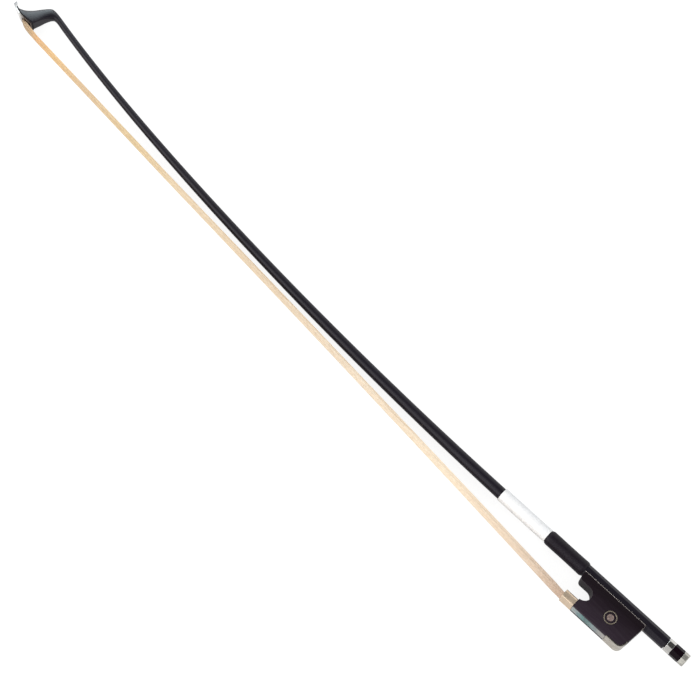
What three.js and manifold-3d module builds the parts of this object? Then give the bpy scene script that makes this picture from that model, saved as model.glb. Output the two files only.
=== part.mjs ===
// A cello bow lying on its side, in millimetres.
// +X runs along the stick from the button to the tip, +Y from the stick to the hair,
// and +Z up through the side of the frog. While it is built, the stick's handle lies on
// the X axis with the button's end at x = 0. The last lines move the origin to the
// middle of the bow's underside.

import * as THREE from 'three';
import { mergeVertices } from 'three/addons/utils/BufferGeometryUtils.js';
import Module from 'manifold-3d';

const wasm = await Module();
wasm.setup();

// Fits
const seatGap = 0.2; // between pieces that stay together
const runningGap = 0.3; // between pieces that move on each other
const cutOverrun = 3; // how far a cut runs past the surface that it opens

// Button, from its end at x = 0 towards the stick
const buttonFlats = 9.2;
const buttonBevel = 0.4;
const capLength = 4.2;
const capEndThickness = 1.2;
const coreLength = 7.6;
const collarLength = 5.0;
const buttonWall = 0.9; // metal outside the core's spigots

// Screw
const screwRadius = 1.7;
const screwLength = 90;
const pilotRadius = 1.25;
const pilotLength = 9;
const tangFlats = 2.6;
const tangEndInset = 2.4; // from the button's end to the end of the tang

// Stick
const handleFlats = 9.3;
const handleBevel = 0.5;
const nippleRadius = 3.2;
const nippleLength = 1.6;
const boreSpare = 2; // bore left past the end of the screw
const gripCoreDiameter = 9.1;
const roundingLength = 5; // where the eight flats fade into a round stick
const taperStart = 150;
const headNeckX = 672; // where the stick ends and the head begins
const neckDiameter = 5.2;
const taperPower = 1.05;
const camberStart = 150;
const camberRise = 39.6; // the bend of the whole stick
const camberPower = 2.05;
const neckRise = 2.8; // the sharper bend towards the head
const neckPower = 8;
const stickStep = 20;

// Head
const headHalfWidth = 5.2;
const headThroatLength = 19.8; // from the neck to the back edge of the tip plate
const headHeight = 23.8; // from the crown to the plate's face, which the hair leaves
const crownRise = 5.7; // how far the crown stands behind the neck's centre line
const plateLength = 25.8;
const faceFlatLength = 11;
const noseRise = 5.1; // how far the nose lies behind the plate's face
const linerThickness = 1.0;
const plateThickness = 0.9;
const noseThickness = 3.4;
const noseHalfWidth = 1.3;

// Tip mortise, plug and knot
const tipMortiseInset = 2.4; // from the back edge of the tip plate
const tipMortiseLength = 8;
const tipMortiseHalfWidth = 2.6;
const tipMortiseDepth = 4.6; // past the plate's bed
const tipWindowHalfWidth = 3.5;
const tipKnotRadius = 1.3;

// Frog
const frogBack = 35.3;
const frogLength = 54.5;
const frogBottom = 27.2;
const frogRimWall = 0.87; // outside the stick's channel at the rim
const frogSideSlope = 0.8; // how far the sides lean out from the rim to the shoulder
const frogRimY = 2.9;
const frogShoulderY = 9;
const frogEdge = 0.5;
const heelSlant = 1.7; // how far the back leans forward at the heel
const heelRoundHeight = 6.2;
const heelRoundLength = 5.4;
const throatRoof = 9.2;
const thumbFaceY = 4.4;
const thumbRound = 3.2;

// Ferrule and the tongue inside it
const ferruleLength = 10.1;
const ferruleOverhang = 0.6; // how far it stands in front of the frog
const ferruleHeight = 6.8;
const ferruleSideHeight = 3.8; // straight part, where the rounded side begins
const ferruleWall = 0.7;
const ferruleCorner = 0.8;
const tongueDepth = 4.5; // from the frog's underside to the tongue's flat
const wedgeThickness = 0.8;
const wedgeTaper = 0.4;

// Underslide and eyelet
const underslideThickness = 0.6;
const underslideStand = 0.8; // how far its edges stand out over the frog's rim
const slidePinRadius = 0.5;
const slidePinLength = 3;
const slidePinInset = 3.6;
const eyeletInset = 25.7; // from the frog's back
const eyeletLength = 5.4;
const eyeletWidth = 4.2;
const eyeletTopY = -2.9;
const eyeletFootY = 4.4;
const eyeletShankRadius = 1.5;
const eyeletShankEnd = 12.6;

// Travel of the frog when the screw tightens the hair
const frogTravel = 7;

// Pearl eyes
const eyeInset = 21; // from the frog's back
const eyeHeight = 11.7; // over the frog's underside
const eyeRingRadius = 4.7;
const eyeRingWidth = 0.6;
const eyePearlRadius = 2.5;
const eyeDepth = 1.2;

// Slide and heel plate on the frog's underside
const slideInset = 15.3; // from the frog's back
const pearlEdge = 2.4; // ebony left beside the pearl
const pearlThickness = 0.9;
const backingThickness = 1.0;
const backingFlare = 0.4; // of the dovetail, on each side
const heelPlateThickness = 0.6;
const heelPlateStand = 0.9; // how far it climbs past the heel's round
const heelPinRadius = 0.45;
const heelPinLength = 2.4;
const heelPinInset = 4.4; // from the plate's front edge
const heelPinSpacing = 7;

// Frog mortise, plug and knot
const frogMortiseInset = 10.2; // from the slide's back end
const frogMortiseWall = 5.9; // ebony left between it and the ferrule
const frogMortiseHalfWidth = 4.9;
const frogMortiseDepth = 7.3; // past the floor of the hair's channel
const channelDepth = 3.8; // from the frog's underside
const frogKnotRadius = 1.5;

// Hair
const hairThickness = 1.1; // where it lies in the frog
const hairMouthThickness = 2.4; // where it leaves the ferrule
const hairSwellThickness = 3.2; // where the loose hairs spread past the ferrule
const hairSwellLength = 8; // from the ferrule to where they have spread
const hairThinningPower = 2.3; // how soon they draw together again
const hairTipHalfWidth = 4.5;
const hairTipThickness = 1.7;
const hairSag = 0.8;
const hairSagLength = 425; // from the ferrule, along which it sags
const hairStep = 40;

// Thumb leather and wire winding
const gripClearance = 1.1;
const gripLength = 34;
const gripWall = 0.65;
const gripEndRound = 1.2;
const windingGap = 0.5;
const windingLoops = 24;
const windingLength = 43.6;
const wireWidth = 1.3;
const wireThickness = 0.4;

// Counts
const roundSides = 32;
const smallRoundSides = 16;
const stickSides = 16;
const loopSteps = 24;
const curveSteps = 14;
const plateSteps = 8;

// Places that follow from the sizes above
const coreStart = capLength + seatGap;
const coreEnd = coreStart + coreLength;
const collarStart = coreEnd + seatGap;
const collarEnd = collarStart + collarLength;
const spigotRadius = buttonFlats / 2 - buttonWall;
const stickStart = collarEnd + runningGap;
const nippleStart = stickStart - nippleLength;
const coreFront = nippleStart - runningGap;
const shaftStart = coreFront + seatGap;
const screwEnd = tangEndInset + screwLength;
const boreRadius = screwRadius + runningGap;
const halfFlats = handleFlats / 2;
const cornerRatio = 1 / Math.cos(Math.PI / 8);
const flatRatio = Math.tan(Math.PI / 8);

const neckY = -camberRise - neckRise;
const headCrownY = neckY - crownRise;
const faceY = headCrownY + headHeight;
const plateBack = headNeckX + headThroatLength;
const noseX = plateBack + plateLength;
const linerTopDepth = plateThickness + seatGap + linerThickness;
const bedDepth = linerTopDepth + seatGap;
const tipMortiseBack = plateBack + tipMortiseInset;
const tipMortiseFront = tipMortiseBack + tipMortiseLength;
const tipKnotX = tipMortiseFront - seatGap - tipKnotRadius;

const frogFront = frogBack + frogLength;
const ferruleFront = frogFront + ferruleOverhang;
const ferruleBack = ferruleFront - ferruleLength;
const ferruleCrown = frogBottom - ferruleHeight;
const ferruleSpringY = frogBottom - ferruleSideHeight;
const tongueFlatY = frogBottom - tongueDepth;
const throatRadius = (ferruleCrown - throatRoof) / 2;
const channelReach = halfFlats + runningGap + underslideThickness + seatGap;
const frogRimHalfWidth = channelReach * Math.SQRT2 - frogRimY + frogRimWall;
const frogHalfWidth = frogRimHalfWidth + frogSideSlope;
const eyeletX = frogBack + eyeletInset;
const eyeX = frogBack + eyeInset;
const eyeY = frogBottom - eyeHeight;
const slideBack = frogBack + slideInset;
const pearlHalfWidth = frogHalfWidth - pearlEdge;
const backingTopHalfWidth = pearlHalfWidth + seatGap / 2;
const backingFootHalfWidth = backingTopHalfWidth + backingFlare;
const heelPinX = slideBack - heelPinInset;
const heelPlateTopY = frogBottom - heelRoundHeight - heelPlateStand;
const frogMortiseBack = slideBack + frogMortiseInset;
const frogMortiseFront = ferruleBack - frogMortiseWall;
const channelY = frogBottom - channelDepth;
const frogMortiseY = channelY - frogMortiseDepth;
const channelHalfWidth = hairTipHalfWidth + runningGap;
const hairFrogHalfWidth = frogHalfWidth - ferruleWall - runningGap;
const hairFrogY = frogBottom - ferruleWall - seatGap - hairMouthThickness / 2;
const pearlY = frogBottom - pearlThickness;
const backingY = pearlY - seatGap - backingThickness;

const gripStart = frogFront + gripClearance;
const gripEnd = gripStart + gripLength;
const windingStart = gripEnd + windingGap;

const v = (x, y, z) => new THREE.Vector3(x, y, z);

// Materials

const finishes = {
  stickBlack: new THREE.MeshStandardMaterial({ color: 0x17171b, roughness: 0.35, metalness: 0 }),
  leather: new THREE.MeshStandardMaterial({ color: 0x1d1b1f, roughness: 0.7, metalness: 0 }),
  wire: new THREE.MeshStandardMaterial({ color: 0xdedfe2, roughness: 0.25, metalness: 1 }),
  nickel: new THREE.MeshStandardMaterial({ color: 0xcdc4b2, roughness: 0.3, metalness: 1 }),
  silver: new THREE.MeshStandardMaterial({ color: 0xdcdad6, roughness: 0.22, metalness: 1 }),
  ebony: new THREE.MeshStandardMaterial({ color: 0x1c1518, roughness: 0.4, metalness: 0 }),
  shell: new THREE.MeshStandardMaterial({ color: 0x7ea3a6, roughness: 0.25, metalness: 0 }),
  pearl: new THREE.MeshStandardMaterial({ color: 0xb59c8e, roughness: 0.3, metalness: 0 }),
  hair: new THREE.MeshStandardMaterial({ color: 0xdcc192, roughness: 0.55, metalness: 0 }),
  maple: new THREE.MeshStandardMaterial({ color: 0xcfae7c, roughness: 0.6, metalness: 0 }),
  brass: new THREE.MeshStandardMaterial({ color: 0xb98f45, roughness: 0.35, metalness: 1 }),
  steel: new THREE.MeshStandardMaterial({ color: 0x9a9c9f, roughness: 0.35, metalness: 1 }),
};

// Joining and cutting closed geometries

function toSolid(geometry) {
  const plain = geometry.clone();
  plain.deleteAttribute('normal');
  plain.deleteAttribute('uv');
  const merged = mergeVertices(plain);
  return new wasm.Manifold(new wasm.Mesh({
    numProp: 3,
    vertProperties: new Float32Array(merged.attributes.position.array),
    triVerts: new Uint32Array(merged.index.array),
  }));
}

function toGeometry(solid) {
  const mesh = solid.getMesh();
  const geometry = new THREE.BufferGeometry();
  geometry.setAttribute('position', new THREE.BufferAttribute(mesh.vertProperties, 3));
  geometry.setIndex(new THREE.BufferAttribute(mesh.triVerts, 1));
  geometry.computeVertexNormals();
  return geometry;
}

function join(...geometries) {
  return toGeometry(geometries.map(toSolid).reduce((all, next) => all.add(next)));
}

function cut(body, ...cutters) {
  return toGeometry(cutters.map(toSolid).reduce((rest, next) => rest.subtract(next), toSolid(body)));
}

function common(first, second) {
  return toGeometry(toSolid(first).intersect(toSolid(second)));
}

// Basic solids

// A block between two corners
function block(x0, x1, y0, y1, z0, z1) {
  const geometry = new THREE.BoxGeometry(x1 - x0, y1 - y0, z1 - z0);
  return geometry.translate((x0 + x1) / 2, (y0 + y1) / 2, (z0 + z1) / 2);
}

// A block whose width is centred on the bow's middle plane
function middleBlock(x0, x1, y0, y1, halfWidth) {
  return block(x0, x1, y0, y1, -halfWidth, halfWidth);
}

// A round bar along X
function barX(x0, x1, radius, sides = roundSides) {
  const geometry = new THREE.CylinderGeometry(radius, radius, x1 - x0, sides);
  return geometry.rotateZ(Math.PI / 2).translate((x0 + x1) / 2, 0, 0);
}

// A round bar along Y
function barY(x, z, y0, y1, radius, sides = smallRoundSides) {
  const geometry = new THREE.CylinderGeometry(radius, radius, y1 - y0, sides);
  return geometry.translate(x, (y0 + y1) / 2, z);
}

// A round bar along Z
function barZ(x, y, z0, z1, radius, sides = roundSides) {
  const geometry = new THREE.CylinderGeometry(radius, radius, z1 - z0, sides);
  return geometry.rotateX(Math.PI / 2).translate(x, y, (z0 + z1) / 2);
}

// A side view, drawn in X and Y, given a width
function sideView(shape, halfWidth) {
  const settings = { depth: 2 * halfWidth, bevelEnabled: false, curveSegments: curveSteps };
  return new THREE.ExtrudeGeometry(shape, settings).translate(0, 0, -halfWidth);
}

// An end view, drawn in Z and Y and alike on both sides, run from x0 to x1
function endView(shape, x0, x1) {
  const settings = { depth: x1 - x0, bevelEnabled: false, curveSegments: curveSteps };
  return new THREE.ExtrudeGeometry(shape, settings).rotateY(Math.PI / 2).translate(x0, 0, 0);
}

// A plan view, drawn in X and Z, run from y0 to y1
function planView(shape, y0, y1) {
  const settings = { depth: y1 - y0, bevelEnabled: false, curveSegments: curveSteps };
  return new THREE.ExtrudeGeometry(shape, settings).rotateX(Math.PI / 2).translate(0, y1, 0);
}

function polygon(points) {
  return new THREE.Shape(points.map(([x, y]) => new THREE.Vector2(x, y)));
}

// A closed skin over a row of rings, which go round from +Y to +Z seen from the tip
function loft(rings) {
  const count = rings[0].length;
  const index = [];
  for (let row = 0; row + 1 < rings.length; row += 1) {
    for (let i = 0; i < count; i += 1) {
      const a = row * count + i;
      const b = row * count + ((i + 1) % count);
      index.push(a, b, b + count, a, b + count, a + count);
    }
  }
  const last = (rings.length - 1) * count;
  for (let i = 1; i + 1 < count; i += 1) {
    index.push(0, i + 1, i);
    index.push(last, last + i, last + i + 1);
  }
  const geometry = new THREE.BufferGeometry();
  const numbers = rings.flat().flatMap((p) => [p.x, p.y, p.z]);
  geometry.setAttribute('position', new THREE.Float32BufferAttribute(numbers, 3));
  geometry.setIndex(index);
  geometry.computeVertexNormals();
  return geometry;
}

// An eight-sided bar along X with its ends bevelled
function octagonBar(x0, x1, flats, startBevel, endBevel) {
  const ring = (x, across) => Array.from({ length: 8 }, (_, i) => {
    const angle = (i + 1 / 2) * Math.PI / 4;
    const reach = across / 2 * cornerRatio;
    return v(x, Math.cos(angle) * reach, Math.sin(angle) * reach);
  });
  const rings = [ring(x0, flats - 2 * startBevel), ring(x0 + startBevel, flats)];
  if (endBevel > 0) {
    rings.push(ring(x1 - endBevel, flats));
  }
  rings.push(ring(x1, flats - 2 * endBevel));
  return loft(startBevel > 0 ? rings : rings.slice(1));
}

// Stick

function camberAt(x) {
  const reach = Math.max(0, x - camberStart) / (headNeckX - camberStart);
  return -camberRise * reach ** camberPower - neckRise * reach ** neckPower;
}

function camberSlope(x) {
  const span = headNeckX - camberStart;
  const reach = Math.max(0, x - camberStart) / span;
  const bend = camberRise * camberPower * reach ** (camberPower - 1);
  return -(bend + neckRise * neckPower * reach ** (neckPower - 1)) / span;
}

function stickRadius(x) {
  const reach = Math.max(0, x - taperStart) / (headNeckX - taperStart);
  const share = (1 - Math.min(1, reach)) ** taperPower;
  return (neckDiameter + (gripCoreDiameter - neckDiameter) * share) / 2;
}

// How far the eight flats have faded: 0 on the handle, 1 where the stick is round
function roundness(x) {
  const reach = (x - frogFront) / roundingLength;
  return Math.min(1, Math.max(0, reach));
}

// The stick's section at x, grown by a gap, square to the stick
function stickRing(x, gap = 0) {
  const slope = Math.atan(camberSlope(x));
  const round = roundness(x);
  const flatReach = THREE.MathUtils.lerp(halfFlats, stickRadius(x), round) + gap;
  const cornerReach = THREE.MathUtils.lerp(halfFlats * cornerRatio, stickRadius(x), round) + gap;
  return Array.from({ length: stickSides }, (_, i) => {
    const angle = i * 2 * Math.PI / stickSides;
    const reach = i % 2 ? cornerReach : flatReach;
    const across = Math.cos(angle) * reach;
    return v(x - Math.sin(slope) * across, camberAt(x) + Math.cos(slope) * across,
      Math.sin(angle) * reach);
  });
}

// Head stations from the neck to the plate, as [x, y] on the throat side, [x, y] on the
// ridge side, the half width, and how far the section has gone from round to wedge.
// Throat places run from the neck to the plate's back edge in x, ridge places from the neck
// to the nose, and both from the crown to the face in y.
const headStationShares = [
  { throat: [0.274, 0.3], ridge: [0.16, 0.066], width: 0.5, wedge: 0 },
  { throat: [0.451, 0.273], ridge: [0.27, 0.026], width: 0.52, wedge: 0.1 },
  { throat: [0.594, 0.268], ridge: [0.381, 0], width: 0.56, wedge: 0.3 },
  { throat: [0.693, 0.324], ridge: [0.46, 0.02], width: 0.61, wedge: 0.5 },
  { throat: [0.772, 0.408], ridge: [0.521, 0.122], width: 0.7, wedge: 0.7 },
  { throat: [0.845, 0.521], ridge: [0.593, 0.3], width: 0.8, wedge: 0.85 },
  { throat: [0.903, 0.655], ridge: [0.672, 0.505], width: 0.89, wedge: 1 },
  { throat: [0.949, 0.794], ridge: [0.778, 0.69], width: 0.95, wedge: 1 },
  { throat: [0.986, 0.92], ridge: [0.897, 0.785], width: 1, wedge: 1 },
  { throat: [1.009, 1.06], ridge: [1.01, 0.88], width: 1, wedge: 1 },
];

// The wedge section from the middle of the throat round to the ridge
const wedgeAlongShares = [1, 1, 0.96, 0.84, 0.66, 0.46, 0.28, 0.11, 0];
const wedgeWidthShares = [0, 0.72, 1, 1, 0.95, 0.82, 0.62, 0.34, 0];

function headRing(station) {
  const place = ([xShare, yShare], farX) => v(
    THREE.MathUtils.lerp(headNeckX, farX, xShare),
    THREE.MathUtils.lerp(headCrownY, faceY, yShare),
    0,
  );
  const throat = place(station.throat, plateBack);
  const ridge = place(station.ridge, noseX);
  return Array.from({ length: stickSides }, (_, i) => {
    const angle = i * 2 * Math.PI / stickSides;
    const side = i > stickSides / 2 ? stickSides - i : i;
    const roundAlong = (1 + Math.cos(angle)) / 2;
    const roundWidth = Math.abs(Math.sin(angle));
    const along = THREE.MathUtils.lerp(roundAlong, wedgeAlongShares[side], station.wedge);
    const wide = THREE.MathUtils.lerp(roundWidth, wedgeWidthShares[side], station.wedge);
    const point = ridge.clone().lerp(throat, along);
    point.z = Math.sign(Math.sin(angle)) * wide * station.width * headHalfWidth;
    return point;
  });
}

// The hair-side face of the plate, from its back edge to the nose, moved back by a depth
function facePoints(depth) {
  const bend = v(plateBack + faceFlatLength, faceY - depth, 0);
  const nose = v(noseX, faceY - noseRise - depth, 0);
  const knee = bend.clone().lerp(nose, 1 / 4);
  knee.y = bend.y;
  const curve = new THREE.QuadraticBezierCurve3(bend, knee, nose);
  return [[plateBack, faceY - depth], ...curve.getPoints(plateSteps).map((p) => [p.x, p.y])];
}

// Everything on the hair side of the plate's bed
function bedCutter() {
  const points = facePoints(bedDepth);
  const farX = noseX + cutOverrun;
  const nearX = plateBack - cutOverrun;
  const farY = faceY + cutOverrun * 2;
  const outline = [
    [nearX, points[0][1]], ...points, [farX, points.at(-1)[1]], [farX, farY], [nearX, farY],
  ];
  return sideView(polygon(outline), headHalfWidth + cutOverrun);
}

function tipMortise(halfWidth) {
  const topY = faceY - bedDepth - tipMortiseDepth;
  return middleBlock(tipMortiseBack, tipMortiseFront, topY, faceY + cutOverrun, halfWidth);
}

function eyeletSlot() {
  const halfLength = eyeletLength / 2 + runningGap;
  const topY = eyeletTopY - runningGap;
  const halfWidth = eyeletWidth / 2 + runningGap;
  return middleBlock(eyeletX - frogTravel - halfLength, eyeletX + halfLength, topY,
    halfFlats + cutOverrun, halfWidth);
}

function makeStick() {
  const rings = [];
  const shoulder = stickRing(stickStart + handleBevel);
  rings.push(stickRing(stickStart, -handleBevel), shoulder, stickRing(frogFront));
  rings.push(stickRing(frogFront + roundingLength), stickRing(camberStart));
  for (let x = camberStart + stickStep; x < headNeckX; x += stickStep) {
    rings.push(stickRing(x));
  }
  rings.push(stickRing(headNeckX), ...headStationShares.map(headRing));
  const nipple = barX(nippleStart, stickStart + handleBevel, nippleRadius);
  const bore = barX(nippleStart - cutOverrun, screwEnd + boreSpare, boreRadius);
  const cutters = [bore, eyeletSlot(), bedCutter(), tipMortise(tipMortiseHalfWidth)];
  return cut(join(loft(rings), nipple), ...cutters);
}

// Head fittings

// The plan of the tip plate: straight sides that draw in to a narrow nose
function platePlan() {
  const shape = new THREE.Shape();
  const bendX = plateBack + faceFlatLength;
  const pullX = (bendX + noseX) / 2;
  shape.moveTo(plateBack, -headHalfWidth);
  shape.lineTo(bendX, -headHalfWidth);
  shape.quadraticCurveTo(pullX, -headHalfWidth, noseX, -noseHalfWidth);
  shape.lineTo(noseX, noseHalfWidth);
  shape.quadraticCurveTo(pullX, headHalfWidth, bendX, headHalfWidth);
  shape.lineTo(plateBack, headHalfWidth);
  return planView(shape, headCrownY, faceY + cutOverrun);
}

// A strip between two depths behind the plate's face, which grows thicker at the nose
function faceStrip(nearDepth, farDepth, noseDepth) {
  const near = facePoints(nearDepth);
  const far = facePoints(farDepth);
  far.at(-1)[1] -= noseDepth - farDepth;
  far.at(-2)[1] -= (noseDepth - farDepth) / 2;
  return sideView(polygon([...near, ...far.reverse()]), headHalfWidth + cutOverrun);
}

function tipWindow() {
  return middleBlock(tipMortiseBack, tipMortiseFront, headCrownY, faceY + cutOverrun,
    tipWindowHalfWidth);
}

function makeTipPlate() {
  const strip = faceStrip(0, plateThickness, noseThickness);
  return cut(common(strip, platePlan()), tipWindow());
}

function makeTipLiner() {
  const strip = faceStrip(plateThickness + seatGap, linerTopDepth, linerTopDepth);
  const noseCut = middleBlock(linerFront(), noseX + cutOverrun, headCrownY, faceY + cutOverrun,
    headHalfWidth + cutOverrun);
  return cut(common(strip, platePlan()), noseCut, tipWindow());
}

// The liner stops where the plate's thick nose begins
function linerFront() {
  const curve = facePoints(0);
  return curve[curve.length - 3][0];
}

function makeTipPlug() {
  const topY = faceY - bedDepth - tipMortiseDepth + seatGap;
  const front = tipKnotX - tipKnotRadius - 2 * seatGap;
  return middleBlock(tipMortiseBack + seatGap, front, topY, faceY - plateThickness,
    tipMortiseHalfWidth - seatGap);
}

function makeTipKnot() {
  const y = faceY - bedDepth - tipMortiseDepth + seatGap + tipKnotRadius;
  const reach = tipMortiseHalfWidth - seatGap;
  return barZ(tipKnotX, y, -reach, reach, tipKnotRadius, smallRoundSides);
}

// Hair

// A flat band along a route, with its thickness square to the route
function band(stations) {
  const points = stations.map((s) => v(s.x, s.y, 0));
  const rings = stations.map((station, k) => {
    const before = points[Math.max(0, k - 1)];
    const after = points[Math.min(points.length - 1, k + 1)];
    const along = after.clone().sub(before).normalize();
    const across = v(-along.y, along.x, 0).multiplyScalar(station.thickness / 2);
    const side = v(0, 0, station.halfWidth);
    const corners = [[1, 1], [-1, 1], [-1, -1], [1, -1]];
    return corners.map(([a, b]) => points[k].clone()
      .addScaledVector(across, a).addScaledVector(side, b));
  });
  return loft(rings);
}

// Hair stations inside the frog, from the knot over the plug to the ferrule's mouth
function frogHairStations() {
  const backX = frogMortiseBack + seatGap + hairThickness / 2;
  const channelMid = channelY + seatGap + hairThickness / 2;
  const knotTop = frogMortiseY + seatGap + 2 * frogKnotRadius + seatGap;
  const mouthMid = hairFrogY - hairThickness / 4;
  const inner = hairTipHalfWidth - runningGap;
  const station = (x, y, halfWidth) => ({ x, y, halfWidth, thickness: hairThickness });
  return [
    station(backX, knotTop, inner),
    station(backX, channelMid - 2 * hairThickness, inner),
    station(backX + hairThickness, channelMid - hairThickness / 2, inner),
    station(backX + 3 * hairThickness, channelMid, inner),
    station(ferruleBack - hairThickness, channelMid, inner),
    station(ferruleBack + 2 * hairThickness, mouthMid, hairFrogHalfWidth - seatGap),
    {
      x: ferruleFront, y: hairFrogY, halfWidth: hairFrogHalfWidth, thickness: hairMouthThickness,
    },
  ];
}

// The hair's thickness at a share of its free length
function freeHairThickness(share) {
  const spread = (hairSwellThickness - hairTipThickness) * (1 - share) ** hairThinningPower;
  return hairTipThickness + spread;
}

// Hair stations at the tip, from the free length into the mortise: places from the corner
// where it turns in and thicknesses, as shares of the hair's thickness there
const tipHairTurnShares = [
  [-12, 2.3, 1], [-6, 1.5, 1.5], [-2.9, 0.975, 1.65], [-0.9, 0.65, 1], [-0.1, -0.4, 1],
  [0, -2.2, 1],
];

function tipHairStations() {
  const lastWidth = tipMortiseHalfWidth - seatGap;
  return tipHairTurnShares.map(([xShare, yShare, thickShare], k) => ({
    x: tipKnotX + xShare * hairTipThickness,
    y: faceY + yShare * hairTipThickness,
    halfWidth: THREE.MathUtils.lerp(hairTipHalfWidth, lastWidth, k / (tipHairTurnShares.length - 1)),
    thickness: thickShare * hairTipThickness,
  }));
}

function makeHair() {
  const frogEnd = frogHairStations();
  const tipEnd = tipHairStations();
  const from = frogEnd.at(-1);
  const to = tipEnd[0];
  const length = to.x - from.x;
  const count = Math.floor(length / hairStep);
  const freeStation = (share) => {
    const sag = hairSag * Math.sin(Math.min(1, share * length / hairSagLength) * Math.PI);
    return {
      x: THREE.MathUtils.lerp(from.x, to.x, share),
      y: THREE.MathUtils.lerp(from.y, to.y, share) - sag,
      halfWidth: THREE.MathUtils.lerp(from.halfWidth, to.halfWidth, share),
      thickness: freeHairThickness(share),
    };
  };
  const free = [freeStation(hairSwellLength / length)];
  for (let k = 1; k < count; k += 1) {
    free.push(freeStation(k / count));
  }
  return band([...frogEnd, ...free, ...tipEnd]);
}

// Thumb leather and winding

function makeGrip() {
  const inner = [stickRing(gripStart - cutOverrun, seatGap), stickRing(gripStart, seatGap),
    stickRing(frogFront + roundingLength, seatGap), stickRing(gripEnd + cutOverrun, seatGap)];
  const outerRadius = (x, drop) => {
    const flatEnd = halfFlats * cornerRatio;
    const under = THREE.MathUtils.lerp(flatEnd, stickRadius(x), roundness(x) / 2);
    return under + seatGap + gripWall - drop;
  };
  const ring = (x, drop) => Array.from({ length: roundSides }, (_, i) => {
    const angle = i * 2 * Math.PI / roundSides;
    const reach = outerRadius(x, drop);
    return v(x, Math.cos(angle) * reach, Math.sin(angle) * reach);
  });
  const outer = [
    ring(gripStart, gripWall / 2),
    ring(gripStart + gripEndRound / 2, 0),
    ring(frogFront + roundingLength, 0),
    ring(gripEnd - gripEndRound, 0),
    ring(gripEnd - gripEndRound / 3, gripWall / 4),
    ring(gripEnd, gripWall * 3 / 4),
  ];
  return cut(loft(outer), loft(inner));
}

// The flattened wire's section, as shares of half its width and half its thickness
const wireSectionShares = [[1, 0], [0.6, 1], [-0.6, 1], [-1, 0], [-0.6, -1], [0.6, -1]];

// The wire's section at a number of turns, moved along its own direction by a length
function wireRing(turns, along) {
  const angle = turns * 2 * Math.PI;
  const pitch = windingLength / windingLoops;
  const x = windingStart + wireWidth / 2 + turns * (windingLength - wireWidth) / windingLoops;
  const reach = stickRadius(x) + seatGap + wireThickness / 2;
  const outward = v(0, Math.cos(angle), Math.sin(angle));
  const forward = v(pitch / (2 * Math.PI), -Math.sin(angle) * reach, Math.cos(angle) * reach);
  forward.normalize();
  const sideways = outward.clone().cross(forward).normalize();
  const centre = v(x, camberAt(x), 0).addScaledVector(outward, reach).addScaledVector(forward, along);
  return wireSectionShares.map(([wide, thick]) => centre.clone()
    .addScaledVector(sideways, wide * wireWidth / 2)
    .addScaledVector(outward, thick * wireThickness / 2));
}

function leastGap(rings) {
  let least = Infinity;
  for (let k = 0; k + loopSteps / 2 < rings.length; k += 1) {
    for (let other = k + loopSteps / 2; other < Math.min(rings.length, k + 2 * loopSteps); other += 1) {
      for (const p of rings[k]) {
        for (const q of rings[other]) {
          least = Math.min(least, p.distanceTo(q));
        }
      }
    }
  }
  return least;
}

function makeWinding() {
  const rings = [wireRing(0, -wireWidth)];
  for (let k = 0; k <= windingLoops * loopSteps; k += 1) {
    rings.push(wireRing(k / loopSteps, 0));
  }
  rings.push(wireRing(windingLoops, wireWidth));
  console.log(`winding: ${windingLoops} loops, least gap to itself ${leastGap(rings).toFixed(2)} mm`);
  return loft(rings);
}

// Button and screw

function makeButtonCap() {
  const pocket = barX(capEndThickness, capLength + cutOverrun, spigotRadius + seatGap);
  return cut(octagonBar(0, capLength, buttonFlats, buttonBevel, 0), pocket);
}

function makeButtonCore() {
  const body = octagonBar(coreStart, coreEnd, buttonFlats, 0, 0);
  const rearSpigot = barX(capEndThickness + seatGap, coreEnd, spigotRadius);
  const frontSpigot = barX(coreStart, coreFront, spigotRadius);
  const half = tangFlats / 2 + seatGap;
  const hole = block(-cutOverrun, stickStart, -half, half, -half, half);
  return cut(join(body, rearSpigot, frontSpigot), hole);
}

function makeButtonCollar() {
  const bore = barX(collarStart - cutOverrun, collarEnd + cutOverrun, spigotRadius + seatGap);
  return cut(octagonBar(collarStart, collarEnd, buttonFlats, 0, buttonBevel), bore);
}

function makeScrew() {
  const half = tangFlats / 2;
  const tang = block(tangEndInset, shaftStart + half, -half, half, -half, half);
  const shaft = barX(shaftStart, screwEnd - pilotLength, screwRadius);
  const pilot = barX(screwEnd - pilotLength - pilotRadius, screwEnd, pilotRadius, smallRoundSides);
  return join(tang, shaft, pilot);
}

// Frog

// The heel's line from the slide round the heel and up the back, moved inwards
function heelLine(inset) {
  const bottom = v(frogBack + heelSlant + heelRoundLength, frogBottom - inset, 0);
  const corner = v(frogBack + heelSlant + inset, frogBottom - inset, 0);
  const back = v(frogBack + heelSlant + inset, frogBottom - heelRoundHeight, 0);
  return new THREE.QuadraticBezierCurve3(bottom, corner, back).getPoints(curveSteps)
    .map((p) => [p.x, p.y]);
}

function frogSideShape() {
  const shape = new THREE.Shape();
  shape.moveTo(frogBack, frogRimY);
  shape.lineTo(frogFront, frogRimY);
  shape.lineTo(frogFront, thumbFaceY);
  shape.quadraticCurveTo(frogFront, throatRoof, frogFront - thumbRound, throatRoof);
  shape.lineTo(ferruleBack, throatRoof);
  shape.absarc(ferruleBack, throatRoof + throatRadius, throatRadius,
    -Math.PI / 2, -Math.PI * 3 / 2, true);
  shape.lineTo(ferruleFront - seatGap, ferruleCrown);
  shape.lineTo(ferruleFront - seatGap, frogBottom);
  for (const [x, y] of heelLine(0)) {
    shape.lineTo(x, y);
  }
  return shape;
}

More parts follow.
